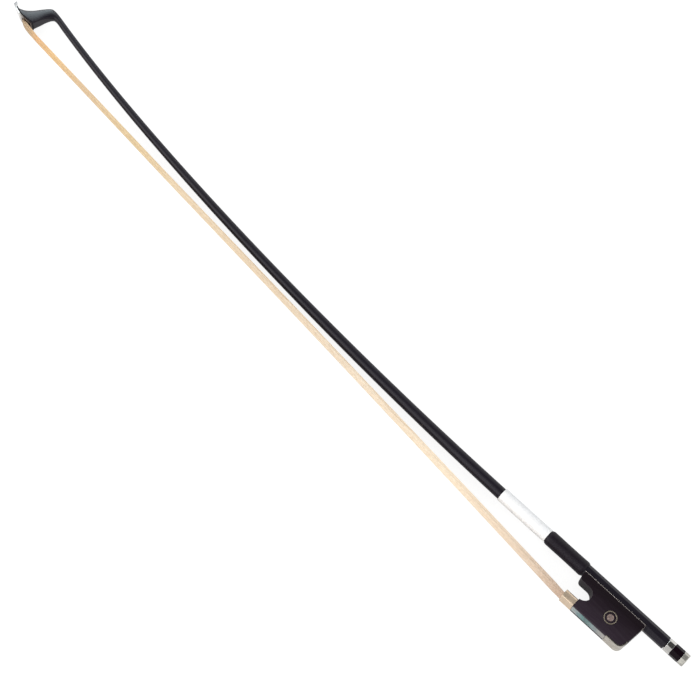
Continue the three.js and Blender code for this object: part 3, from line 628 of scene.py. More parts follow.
@dataclass
class Finishes:
    """Every finish of the bow, made once and shared. Places are millimetres along the bow."""

    place: BowPlace
    made: dict[str, Material] = field(default_factory=dict)
    plate_x: tuple[float, float] = (691.8, 717.6)
    slide_x: tuple[float, float] = (80.1, 50.8)
    hair_x: tuple[float, float] = (88.0, 701.0)
    # painted light on the tip plate: painted shade darkens its back end by the hair, and a painted
    # highlight lies past its middle
    plate_painted_light_tones: Stops = tones(
        (0.0, 96, 84, 78), (0.3, 112, 98, 90), (0.46, 168, 161, 154), (0.6, 212, 208, 205),
        (0.8, 196, 196, 196), (1.0, 160, 161, 163))
    shell_tones: Stops = tones(
        (0.0, 175, 176, 176), (0.1, 158, 172, 174), (0.2, 116, 139, 146), (0.3, 84, 142, 138),
        (0.42, 70, 100, 106), (0.52, 76, 118, 116), (0.62, 138, 156, 160), (0.72, 126, 137, 141),
        (0.84, 160, 160, 158), (1.0, 178, 171, 168))
    # the hair's own tone along the bow; the darker colours at the start by the ferrule and at the
    # end by the tip plate are painted shade
    hair_tones_and_painted_shade: Stops = tones(
        (0.0, 212, 190, 172), (0.05, 236, 220, 202), (0.1, 246, 231, 211), (0.18, 255, 243, 223),
        (0.35, 250, 238, 219), (0.51, 243, 228, 205), (0.67, 248, 232, 205), (0.77, 243, 223, 183),
        (0.87, 243, 220, 186), (0.93, 250, 218, 166), (0.965, 248, 209, 161),
        (0.982, 218, 193, 159), (1.0, 200, 178, 150))
    pearl_tones: Stops = tones((0.3, 104, 88, 86), (0.5, 134, 114, 108), (0.72, 168, 148, 138))

    def metals(self) -> dict[str, Finish]:
        """The plain metals, by their short names.

        Returns:
            The metals.
        """
        p, plain = Palette, {"grain": Pattern(scale=5200, detail=2)}
        rows = {
            "wire": ("winding_wire", p.WIRE, 0.4, {**plain, "metallic": 0.0, "grain_mm": 0.0005}),
            # nickel silver brightened as painted light, for the shade in the gap where the
            # underslide shows
            "slide": ("worn_slide", p.SLIDE, 0.42, {}),
            "ring": ("eye_ring", p.RING, 0.34, {}),
            "nickel": ("nickel_silver", p.NICKEL, 0.42, {}),
            "silver": ("silver", p.SILVER, 0.13, {}),
            "cap": ("cap_silver", p.CAP, 0.38, {}),
            "heel": ("heel_silver", p.HEEL, 0.24, {}),
            "brass": ("turned_brass", p.BRASS, 0.3, {}),
            "steel": ("plain_steel", p.STEEL, 0.3, plain),
        }
        return {short: Metal(name, pair.over(0.3, 0.62), even=even, **more)
                for short, (name, pair, even, more) in rows.items()}

    def others(self) -> dict[str, Finish]:
        """Every other finish, by its short name.

        Returns:
            The finishes.
        """
        p, at = Palette, self.place.at
        plate, slide, hair = ({"start": at(start, 0), "length": end - start}
                              for start, end in (self.plate_x, self.slide_x, self.hair_x))
        return {
            "composite": Finish("satin_composite", p.COMPOSITE.over(0.35, 0.75),
                                Pattern((0.05, 1, 1), 2600, 3), (0.29, 0.41), 0.3,
                                cloud=Pattern((0.25, 1, 1), 260, 5), grain_mm=0.02),
            "leather": Finish("thumb_leather", p.LEATHER.over(0.3, 0.7),
                              Pattern((1, 2.2, 2.2), 420, 6, 0.6), (0.5, 0.38), 0.28,
                              grain_mm=0.06, pores=Pattern(scale=1500), pore_mm=0.06),
            "thread": Finish("knot_thread", p.THREAD.over(0.3, 0.7),
                             Pattern((1, 1, 0.3), 5200, 3), (0.6, 0.6), 0.3, grain_mm=0.03),
            "maple": Finish("cut_maple", p.MAPLE.over(0.35, 0.65),
                            Pattern((0.12, 1, 1), 1300, 4, 0.8), (0.55, 0.7), 0.3,
                            pores=Pattern((0.2, 1, 1), 2600), pore_mm=0.02),
            # painted shade on the frog's ebony, darkest towards the stick
            "ebony": Ebony("frog_ebony", p.EBONY.over(0.4, 0.78), specular=0.14,
                           painted_shade_from=at(0, 6)),
            "core": Ebony("button_ebony", p.CORE.over(0.4, 0.78), roughness=(0.12, 0.26),
                          specular=0.14),
            "liner": Ebony("dark_liner", p.LINER.over(0.4, 0.78), specular=0.2),
            "pearl": Pearl("eye_pearl", self.pearl_tones, Pattern((1, 0.55, 1), 420, 3, 2.4),
                           (0.14, 0.26), 0.6, grain_mm=0.012, coat=(0.5, 0.08)),
            "plate": AlongBow("tip_silver", self.plate_painted_light_tones, Pattern((0.08, 1, 1), 5200, 2),
                              (0.22, 0.3), metallic=1.0, grain_span=(0.35, 0.65), grain_mm=0.006,
                              **plate),
            "hair": Horsehair("horsehair", self.hair_tones_and_painted_shade, Pattern((0.004, 1, 1), 3600, 2),
                              (0.5, 0.36), 0.35, grain_mm=0.04, **hair),
            "shell": Abalone("abalone_shell", self.shell_tones,
                             Pattern((1, 1, 0.45), 620, 4, 3, slide["start"]), (0.3, 0.4), 0.25,
                             cloud=Pattern((1, 1, 0.7), 150, 3, 1.6, slide["start"]),
                             grain_mm=0.01, coat=(0.1, 0.2), **slide),
        }

    def get(self, name: str) -> Material:
        """Gets a finish, and makes it the first time.

        Args:
            name: Its short name.

        Returns:
            The material.
        """
        if name not in self.made:
            self.made[name] = {**self.metals(), **self.others()}[name].material()
        return self.made[name]


@dataclass
class Assembly:
    """What every part of the bow shares: its place, finishes, body and plainly eased solids.

    Each row of hard names a solid's node, its finish, its material slot, how wide its edges'
    rounding is in millimetres and, if it isn't 30 degrees, from which angle edges are rounded.
    """

    place: BowPlace
    finishes: Finishes
    body: str = "stick_body"
    hard: Rows = ()

    def dress(self, piece: Piece, finish: str, slot: str, *nodes: str, moves: bool = True) -> None:
        """Gives a piece its finish and its place in the assembly.

        Args:
            piece: The piece.
            finish: The finish's short name.
            slot: The record's material slot; not used.
            nodes: The solids that it stands for.
            moves: Whether it rides on the assembly's body.
        """
        piece.data.materials.clear()
        piece.data.materials.append(self.finishes.get(finish))
        if nodes:
            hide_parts(*nodes)
        if moves:
            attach(piece, self.body)
        log.info("%s: %s, %d faces", self.body, piece.name, len(piece.data.polygons))

    def ease(self, node: str, finish: str, slot: str, width: float,
             sharper_than: float = 30.0) -> None:
        """Replaces a hard solid by a copy with rounded edges.

        Args:
            node: The solid's node.
            finish: The finish's short name.
            slot: The record's material slot.
            width: How wide the rounding is, in millimetres.
            sharper_than: Edges sharper than this, in degrees, are rounded.
        """
        mesh = bpy.data.meshes.new(node + "_eased")
        shell = bmesh.new()
        shell.from_mesh(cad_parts[node].data)
        bmesh.ops.remove_doubles(shell, verts=shell.verts, dist=1e-6)
        bmesh.ops.dissolve_limit(shell, angle_limit=math.radians(1), verts=shell.verts,
                                 edges=shell.edges)
        shell.to_mesh(mesh)
        shell.free()
        mesh.shade_smooth()
        piece = put(mesh.name, mesh)
        rounding = piece.modifiers.new("rounding", "BEVEL")
        rounding.width, rounding.segments, rounding.limit_method = width * MM, 2, "ANGLE"
        rounding.angle_limit, rounding.miter_outer = math.radians(sharper_than), "MITER_ARC"
        piece.modifiers.new("flats", "WEIGHTED_NORMAL").weight = 80
        applied(piece)
        self.dress(piece, finish, slot, node)

    def build(self) -> None:
        """Builds and dresses the eased solids."""
        for row in self.hard:
            self.ease(*row)


# The stick and its head

@dataclass
class Stick(Assembly):
    """The stick with its eight-sided handle, its camber and its head."""

    start: float = 17.5
    frog_front: float = 89.8
    rounding_length: float = 5.0
    taper_start: float = 150.0
    neck_x: float = 672.0
    camber_start: float = 150.0
    camber_rise: float = 39.6
    camber_power: float = 2.05
    neck_rise: float = 2.8
    neck_power: float = 8.0
    flats: float = 9.3
    handle_bevel: float = 0.5
    corner_ease: float = 0.012
    core_diameter: float = 9.1
    neck_diameter: float = 5.2
    taper_power: float = 1.05
    head_half_width: float = 5.2
    crown_y: float = -48.1
    face_y: float = -24.3
    plate_back: float = 691.8
    nose_x: float = 717.6
    flat_length: float = 11.0
    nose_rise: float = 5.1
    bed_depth: float = 2.3
    mortise_x: tuple[float, float] = (694.2, 702.2)
    mortise_top: float = -31.2
    mortise_half_width: float = 2.6
    slot_x: tuple[float, float] = (51.0, 64.0)
    slot_top: float = -3.2
    slot_half_width: float = 2.4
    bore_end: float = 94.4
    bore_radius: float = 2.0
    nipple_start: float = 15.9
    nipple_radius: float = 3.2
    nipple_bevel: float = 0.3
    handle_places: tuple[float, ...] = (30.0, 50.0, 70.0)
    first_ring: float = 102.0
    ring_step: float = 8.0
    head_steps: int = 5
    # throat and ridge as shares, the half width as a share, and the wedge
    stations: tuple[tuple[float, ...], ...] = (
        (0.274, 0.3, 0.16, 0.066, 0.5, 0.0), (0.451, 0.273, 0.27, 0.026, 0.52, 0.1),
        (0.594, 0.268, 0.381, 0.0, 0.56, 0.3), (0.693, 0.324, 0.46, 0.02, 0.61, 0.5),
        (0.772, 0.408, 0.521, 0.122, 0.7, 0.7), (0.845, 0.521, 0.593, 0.3, 0.8, 0.85),
        (0.903, 0.655, 0.672, 0.505, 0.89, 1.0), (0.949, 0.794, 0.778, 0.69, 0.95, 1.0),
        (0.986, 0.92, 0.897, 0.785, 1.0, 1.0), (1.009, 1.06, 1.01, 0.88, 1.0, 1.0),
    )
    wedge_along: tuple[float, ...] = (1, 1, 0.96, 0.84, 0.66, 0.46, 0.28, 0.11, 0)
    wedge_width: tuple[float, ...] = (0, 0.72, 1, 1, 0.95, 0.82, 0.62, 0.34, 0)

    def camber(self, x: float) -> float:
        """How far the stick's middle lies from the handle's axis at x."""
        reach = max(0.0, x - self.camber_start) / (self.neck_x - self.camber_start)
        return (-self.camber_rise * reach ** self.camber_power
                - self.neck_rise * reach ** self.neck_power)

    def slope(self, x: float) -> float:
        """The angle at which the stick runs at x."""
        step = 0.01
        return math.atan((self.camber(x + step) - self.camber(x - step)) / (2 * step))

    def radius(self, x: float) -> float:
        """The round stick's radius at x."""
        reach = clamp((x - self.taper_start) / (self.neck_x - self.taper_start))
        return lerp(self.neck_diameter, self.core_diameter, (1 - reach) ** self.taper_power) / 2

    def angles(self) -> list[float]:
        """Where each ring has points, in radians: close together at the eight corners."""
        steps = (0, 3.0, 12.0, 22.5, 33.0, 42.0)
        return [math.radians(22.5 + corner * 45 + step) for corner in range(8) for step in steps]

    def ring(self, x: float, gap: float = 0.0) -> Section:
        """The stick's section at x, square to the stick.

        Args:
            x: Where along the bow.
            gap: How much it is grown.

        Returns:
            Its points.
        """
        slope, middle = self.slope(x), self.camber(x)
        round_share = clamp((x - self.frog_front) / self.rounding_length)
        most = self.flats / 2 / math.cos(math.pi / 8) * (1 - self.corner_ease)
        section = []
        for angle in self.angles():
            from_flat = (angle + math.pi / 8) % (math.pi / 4) - math.pi / 8
            flat = self.flats / 2 / math.cos(from_flat)
            reach = lerp(min(flat, most), self.radius(x), round_share) + gap
            across = math.cos(angle) * reach
            section.append(Vector((x - math.sin(slope) * across, middle + math.cos(slope) * across,
                                   math.sin(angle) * reach)))
        return section

    def neck_row(self, x: float) -> tuple[float, ...]:
        """The round stick's section, as a row of the head's numbers.

        Args:
            x: Where along the bow.

        Returns:
            The row.
        """
        slope, radius, y = self.slope(x), self.radius(x), self.camber(x)
        dx, dy = -math.sin(slope) * radius, math.cos(slope) * radius
        return x + dx, y + dy, x - dx, y - dy, radius, 0.0

    def head_rows(self) -> list[tuple[float, ...]]:
        """The neck and the head's stations.

        Returns:
            A row for each: its throat point, its ridge point, its half width and its wedge.
        """
        rows = [self.neck_row(self.neck_x - back * self.ring_step) for back in (2, 1, 0)]
        for tx, ty, rx, ry, width, wedge in self.stations:
            throat = lerp(self.neck_x, self.plate_back, tx), lerp(self.crown_y, self.face_y, ty)
            ridge = lerp(self.neck_x, self.nose_x, rx), lerp(self.crown_y, self.face_y, ry)
            rows.append((*throat, *ridge, width * self.head_half_width, wedge))
        return rows

    def head_ring(self, numbers: Sequence[float]) -> Section:
        """A section of the head from its row of numbers.

        Args:
            numbers: The throat point, the ridge point, the half width and the wedge.

        Returns:
            The section's points.
        """
        tx, ty, rx, ry, half_width, wedge = numbers
        section = []
        for angle in self.angles():
            turn = angle % math.tau
            side = math.degrees(turn if turn <= math.pi else math.tau - turn) / 22.5
            along = lerp((1 + math.cos(turn)) / 2, self.wedge_share(self.wedge_along, side), wedge)
            wide = lerp(abs(math.sin(turn)), self.wedge_share(self.wedge_width, side), wedge)
            sign = math.copysign(1, math.sin(turn))
            section.append(Vector((lerp(rx, tx, along), lerp(ry, ty, along),
                                   sign * wide * half_width)))
        return section

    def wedge_share(self, shares: Sequence[float], side: float) -> float:
        """Reads the wedge section, which is straight near the throat and smooth on the cheeks.

        Args:
            shares: The section's numbers, from the throat to the ridge.
            side: Where they are read.

        Returns:
            The number there.
        """
        if side <= 2:
            low = int(min(1, side))
            return lerp(shares[low], shares[low + 1], side - low)
        return curve_through(shares[2:], side - 2)

    def skin(self) -> Piece:
        """Builds the stick and head before anything is cut out of them.

        Returns:
            The piece.
        """
        places = [self.start + self.handle_bevel, *self.handle_places, self.frog_front]
        places += [self.frog_front + self.rounding_length * k / 4 for k in range(1, 5)]
        x = self.first_ring
        while x < self.neck_x - self.ring_step / 2:
            places.append(x)
            x += self.ring_step
        sections = [self.ring(self.start, -self.handle_bevel), *map(self.ring, places)]
        rows = self.head_rows()
        first = 2
        for row in range((len(rows) - 1 - first) * self.head_steps + 1):
            position = first + row / self.head_steps
            sections.append(self.head_ring([curve_through(c, position) for c in zip(*rows)]))
        return Draft(self.place).loft(sections).piece("stick_dressed", 30)

    def face_line(self, depth: float, steps: int = 24) -> list[tuple[float, float]]:
        """The hair-side face of the head, moved back by a depth.

        Args:
            depth: How far it is moved back.
            steps: How many steps its curve has.

        Returns:
            Its points from the back edge to the nose.
        """
        y = self.face_y - depth
        bend = Vector((self.plate_back + self.flat_length, y))
        nose = Vector((self.nose_x, y - self.nose_rise))
        knee = Vector((lerp(bend.x, nose.x, 0.25), y))
        return [(self.plate_back, y), *map(tuple, bezier(bend, knee, nose, steps))]

    def cutters(self) -> list[Piece]:
        """Builds what is cut out of the stick: the plate's bed, mortise, slot and bore.

        Returns:
            The cutters.
        """
        spare = 3.0
        line = self.face_line(self.bed_depth)
        back, nose, over = self.plate_back - spare, self.nose_x + spare, self.face_y + 2 * spare
        outline = [(back, line[0][1]), *line, (nose, line[-1][1]), (nose, over), (back, over)]
        bed, mortise, slot, bore = (Draft(self.place) for _ in range(4))
        bed.prism(outline, self.head_half_width + spare)
        mortise.block(self.mortise_x, (self.mortise_top, self.face_y + spare),
                      self.mortise_half_width)
        slot.block(self.slot_x, (self.slot_top, self.flats / 2 + spare), self.slot_half_width)
        bore.loft([circle(x, self.bore_radius) for x in (self.nipple_start - spare, self.bore_end)])
        drafts = {"bed": bed, "mortise": mortise, "slot": slot, "bore": bore}
        return [draft.piece(name + "_cutter") for name, draft in drafts.items()]

    def nipple(self) -> Piece:
        """Builds the round seat at the stick's end that enters the button's collar.

        Returns:
            The piece.
        """
        bevel, inner, outer = self.nipple_bevel, self.bore_radius, self.nipple_radius
        profile = ((self.start + bevel, inner), (self.nipple_start, inner),
                   (self.nipple_start, outer - bevel), (self.nipple_start + bevel, outer),
                   (self.start + bevel, outer))
        rings = [circle(x, radius) for x, radius in profile]
        return Draft(self.place).loft(rings, looped=True).piece("stick_nipple")

    def build(self) -> None:
        """Builds and dresses the stick."""
        skin = self.skin()
        carve(skin, self.cutters(), 32)
        self.dress(skin, "composite", "stick_black", "stick")
        self.dress(self.nipple(), "composite", "stick_black")


# Thumb leather and winding

@dataclass
class Handle(Assembly):
    """The thumb leather and the wire winding in front of it."""

    stick: Stick | None = None
    grip_start: float = 90.9
    grip_end: float = 124.9
    grip_radius: float = 5.59
    grip_rear_radius: float = 5.78
    grip_rear_length: float = 5.0
    grip_inner: float = 4.8
    tuck_length: float = 1.1
    tuck_depth: float = 0.5
    ripple: float = 0.03
    ripple_turn: float = 9.0
    seam_angle: float = 205.0
    seam_step: float = 0.22
    seam_width: float = 22.0
    grip_sides: int = 120
    grip_steps: int = 24
    winding_start: float = 125.4
    winding_length: float = 43.6
    wire_diameter: float = 0.4
    wire_gap: float = 0.2
    wire_steps: int = 24
    wire_section: tuple[tuple[float, float], ...] = (
        (1, 0.3), (0.86, 0.78), (0.45, 1), (-0.45, 1), (-0.86, 0.78), (-1, 0.3),
        (-0.5, -1), (0.5, -1))

    def grip_ring(self, share: float) -> Section:
        """One ring of the leather's outside, which dips along the edge of its lap.

        Args:
            share: Its place, from 0 at the rear edge to 1 at the front edge.

        Returns:
            The ring's points.
        """
        x = self.grip_start + share * (self.grip_end - self.grip_start)
        rear = clamp(1 - (x - self.grip_start) / self.grip_rear_length)
        from_end = min(x - self.grip_start, self.grip_end - x)
        tuck = self.tuck_depth * (1 - clamp(from_end / self.tuck_length)) ** 2
        radius = (lerp(self.grip_radius, self.grip_rear_radius, rear) - tuck
                  + self.ripple * math.sin(share * self.ripple_turn))
        section = []
        for angle in turns(self.grip_sides):
            past = math.degrees((angle - math.radians(self.seam_angle)) % math.tau)
            reach = radius - self.seam_step * (1 - clamp(past / self.seam_width))
            section.append(Vector((x, math.cos(angle) * reach, math.sin(angle) * reach)))
        return section

    def build_grip(self) -> None:
        """Builds the leather, with the lap of its seam on the side away from the hair."""
        rings = [self.grip_ring(k / self.grip_steps) for k in range(self.grip_steps + 1)]
        rings += [circle(x, self.grip_inner, self.grip_sides)
                  for x in (self.grip_end, self.grip_start)]
        grip = Draft(self.place).loft(rings, looped=True).piece("thumb_leather", 50)
        self.dress(grip, "leather", "leather", "thumb_grip")

    def build_winding(self) -> None:
        """Builds the wire, wound side by side for the whole length of the winding."""
        radius = self.wire_diameter / 2
        section = [(along, rise * radius) for along, rise in self.wire_section]
        rounds = int(self.winding_length / self.wire_diameter) - 1
        rings = []
        for k in range(rounds * self.wire_steps + 1):
            angle = k * math.tau / self.wire_steps
            x = self.winding_start + radius + k / self.wire_steps * self.wire_diameter
            reach = self.stick.radius(x) + self.wire_gap + radius
            outward = Vector((0, math.cos(angle), math.sin(angle)))
            centre = Vector((x, self.stick.camber(x), 0)) + outward * reach
            rings.append(cord(centre, outward, Vector((radius, 0, 0)), section))
        wire = Draft(self.place).loft(rings).piece("silver_winding", 75)
        self.dress(wire, "wire", "wire", "wire_winding")

    def build(self) -> None:
        """Builds and dresses both."""
        self.build_grip()
        self.build_winding()


# Hair

@dataclass(frozen=True)
class HairStation:
    """One place on the hair's route: its middle, its half width and its thickness."""

    x: float
    y: float
    half_width: float
    thickness: float


@dataclass
class HairRibbon(Assembly):
    """The ribbon of hair from the frog's knot to the tip's knot, and both knots."""

    mortise_back: float = 60.8
    knot_top: float = 19.7
    channel_middle: float = 24.15
    frog_thickness: float = 1.1
    inner_half_width: float = 4.2
    ferrule_back: float = 80.3
    ferrule_front: float = 90.4
    frog_y: float = 25.1
    frog_half_width: float = 5.9
    mouth_thickness: float = 2.4
    swell_thickness: float = 3.2
    swell_length: float = 8.0
    thinning_power: float = 2.3
    free_steps: int = 40
    tip_half_width: float = 4.5
    tip_thickness: float = 1.7
    tip_knot_x: float = 700.7
    face_y: float = -24.3
    last_half_width: float = 2.4
    sag: float = 0.8
    sag_length: float = 425.0
    core_columns: int = 12
    core_side_inset: float = 0.25
    core_inset: float = 0.16
    strand_count: int = 480
    strand_radius: float = 0.11
    seed: int = 7
    knot_thread: float = 0.12
    knot_waist: float = 0.16
    knot_ripple: float = 0.02
    knot_rounds: int = 10
    wrap_radius: float = 0.9
    wrap_length: float = 0.45
    tip_turn: tuple[tuple[float, float, float], ...] = (
        (-12, 2.3, 1), (-6, 1.5, 1.5), (-2.9, 0.975, 1.65), (-0.9, 0.65, 1), (-0.1, -0.4, 1),
        (0, -2.2, 1))

    def frog_route(self) -> list[HairStation]:
        """The route inside the frog, from the knot to the ferrule's mouth.

        Returns:
            Its stations.
        """
        t, low, inner = self.frog_thickness, self.channel_middle, self.inner_half_width
        back = self.mortise_back + 0.2 + t / 2
        spots = ((back, self.knot_top), (back, low - 2 * t), (back + t, low - t / 2),
                 (back + 3 * t, low), (self.ferrule_back - t, low))
        return [*(HairStation(x, y, inner, t) for x, y in spots),
                HairStation(self.ferrule_back + 2 * t, self.frog_y - t / 4,
                            self.frog_half_width - 0.2, t),
                HairStation(self.ferrule_front, self.frog_y, self.frog_half_width,
                            self.mouth_thickness)]

    def tip_route(self) -> list[HairStation]:
        """The route from the free length round into the tip's mortise.

        Returns:
            Its stations.
        """
        t, last = self.tip_thickness, len(self.tip_turn) - 1
        return [HairStation(self.tip_knot_x + x * t, self.face_y + y * t,
                            lerp(self.tip_half_width, self.last_half_width, k / last), thick * t)
                for k, (x, y, thick) in enumerate(self.tip_turn)]

    def free_station(self, start: HairStation, end: HairStation, share: float) -> HairStation:
        """One place on the free length, where the loose hairs spread past the ferrule.

        Args:
            start: The station at the ferrule's mouth.
            end: The station before the tip.
            share: The share of the free length that lies before it.

        Returns:
            The station.
        """
        reach = share * (end.x - start.x) / self.sag_length
        sag = self.sag * math.sin(min(1.0, reach) * math.pi)
        spread = (self.swell_thickness - self.tip_thickness) * (1 - share) ** self.thinning_power
        return HairStation(lerp(start.x, end.x, share), lerp(start.y, end.y, share) - sag,
                           lerp(start.half_width, end.half_width, share),
                           self.tip_thickness + spread)

    def frames(self) -> list[tuple[HairStation, Vector, Vector]]:
        """Follows the whole route, with even steps on the free length.

        Returns:
            Each station with its middle and the direction square to the ribbon's flat there.
        """
        near, far = self.frog_route(), self.tip_route()
        start, end = near[-1], far[0]
        shares = [self.swell_length / (end.x - start.x)]
        shares += [k / self.free_steps for k in range(1, self.free_steps)]
        stations = near + [self.free_station(start, end, share) for share in shares] + far
        points = [Vector((s.x, s.y, 0)) for s in stations]
        frames = []
        for k, (station, point) in enumerate(zip(stations, points)):
            along = (points[min(k + 1, len(points) - 1)] - points[max(k - 1, 0)]).normalized()
            frames.append((station, point, Vector((-along.y, along.x, 0))))
        return frames

    def core(self) -> list[Section]:
        """The sections of the ribbon's body, a little thinner and narrower than its outer hairs.

        Returns:
            The sections.
        """
        sections = []
        for station, middle, across in self.frames():
            half = station.half_width - self.core_side_inset
            rise = across * (station.thickness / 2 - self.core_inset)
            spots = [lerp(-half, half, k / self.core_columns) for k in range(self.core_columns + 1)]
            upper = [middle + rise + Vector((0, 0, z)) for z in spots]
            sections.append(upper + [middle - rise + Vector((0, 0, z)) for z in reversed(spots)])
        return sections

    def strand_spots(self) -> list[tuple[float, float]]:
        """Where the strands lie across the ribbon's section, from -1 to 1 each way.

        Returns:
            A place across the width and one across the thickness for each strand.
        """
        pick = random.Random(self.seed)
        spots = []
        for k in range(self.strand_count):
            if k % 4 == 0:
                spots.append((pick.choice((-1, 1)) * pick.uniform(0.97, 1.0),
                              pick.uniform(-0.97, 0.97)))
            else:
                spots.append((pick.uniform(-0.99, 0.99),
                              (1 if k % 2 else -1) * pick.uniform(0.92, 1.0)))
        return spots

    def add_strands(self, draft: Draft) -> None:
        """Lays single hairs over the ribbon's body, from the ferrule into the tip's mortise.

        Args:
            draft: The ribbon's draft.
        """
        pick = random.Random(self.seed + 1)
        frames = self.frames()[5:]
        last = len(frames) - 1
        for wide, thick in self.strand_spots():
            drift, turn = pick.uniform(0.01, 0.05), pick.uniform(0, math.tau)
            waves = pick.uniform(0.6, 1.6)
            section = [(math.sin(a + turn) * self.strand_radius,
                        math.cos(a + turn) * self.strand_radius) for a in turns(3)]
            sections = []
            for k, (station, middle, across) in enumerate(frames):
                loose = math.sin(math.pi * k / last)
                shift = drift * loose * math.sin(turn + waves * math.tau * k / last)
                z = max(-1, min(1, wide + shift)) * (station.half_width - self.strand_radius)
                rise = thick * (station.thickness / 2 - self.strand_radius)
                centre = middle + Vector((0, 0, z)) + across * rise
                sections.append(cord(centre, across, Vector((0, 0, 1)), section))
            draft.loft(sections)

    def build_ribbon(self) -> None:
        """Builds the ribbon, which runs from the frog at one end to the stick at the other."""
        draft = Draft(self.place).loft(self.core())
        self.add_strands(draft)
        ribbon = draft.piece("horsehair_ribbon", 70)
        self.dress(ribbon, "hair", "hair", "hair_ribbon", moves=False)
        start = self.place.at(self.ferrule_front, self.frog_y)
        end = self.place.at(self.tip_knot_x - 2 * self.tip_thickness, self.face_y)
        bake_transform(ribbon)

    def knot(self, name: str, node: str, body: str) -> None:
        """Builds a knot: a bundle of hair bound with thread.

        Args:
            name: The piece's name.
            node: The solid that it stands for.
            body: The body that it moves with.
        """
        low, high = (Vector(corner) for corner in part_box(node))
        middle = ((low + high) / 2 - self.place.origin) / MM
        half, radius = (high.z - low.z) / 2 / MM, (high.y - low.y) / 2 / MM
        thread, rows, steps = self.knot_thread, 28, 24
        sections = []
        for row in range(rows + 1):
            z = lerp(-half, half, row / rows)
            girth = (radius - thread / 2) * (1 - self.knot_waist * (1 - (z / half) ** 2))
            ring = []
            for angle in turns(32):
                reach = girth * (1 + self.knot_ripple * math.sin(9 * angle)) - thread
                ring.append(middle + Vector((math.cos(angle) * reach, math.sin(angle) * reach, z)))
            sections.append(ring)
        draft = Draft(self.place).loft(sections)
        section = [(math.sin(a) * thread, math.cos(a) * thread) for a in turns(6)]
        wraps, last = [], self.knot_rounds * steps
        for k in range(last + 1):
            angle = k * math.tau / steps
            outward = Vector((math.cos(angle), math.sin(angle), 0))
            centre = middle + outward * (radius * self.wrap_radius - thread * 1.2)
            centre.z += lerp(-half, half, k / last) * self.wrap_length
            wraps.append(cord(centre, outward, Vector((0, 0, 1)), section))
        draft.loft(wraps)
        self.body = body
        self.dress(draft.piece(name, 60), "thread", "hair", node)

    def build(self) -> None:
        """Builds the ribbon and its two knots."""
        self.build_ribbon()
        self.knot("tip_knot_bound", "tip_hair_knot", "stick_body")
        self.knot("frog_knot_bound", "frog_hair_knot", "frog")


# Head fittings, frog and screw

@dataclass
class HeadFittings(Assembly):
    """The plate, liner and plug at the tip."""

    hard: Rows = (
        ("tip_plate", "plate", "silver", 0.22),
        ("tip_liner", "liner", "ebony", 0.1),
        ("tip_plug", "maple", "maple", 0.15),
    )


@dataclass
class Frog(Assembly):
    """The frog with its ferrule, slide, heel plate, eyes and inner pieces."""

    body: str = "frog"
    hard: Rows = (
        ("frog_body", "ebony", "ebony", 0.3, 28),
        ("underslide", "slide", "nickel", 0.12),
        ("underslide_pin_rear", "nickel", "nickel", 0.1),
        ("underslide_pin_front", "nickel", "nickel", 0.1),
        ("eyelet", "brass", "brass", 0.2),
        ("ferrule", "nickel", "nickel", 0.18),
        ("spreader_wedge", "maple", "maple", 0.12),
        ("frog_plug", "maple", "maple", 0.2),
        ("slide_backing", "liner", "ebony", 0.1),
        ("slide_pearl", "shell", "shell", 0.16),
        ("heel_plate", "heel", "silver", 0.16),
        ("heel_pin_far", "heel", "silver", 0.1),
        ("heel_pin_near", "heel", "silver", 0.1),
        ("eye_ring_near", "ring", "nickel", 0.12),
        ("eye_pearl_near", "pearl", "pearl", 0.25),
        ("eye_ring_far", "ring", "nickel", 0.12),
        ("eye_pearl_far", "pearl", "pearl", 0.25),
    )


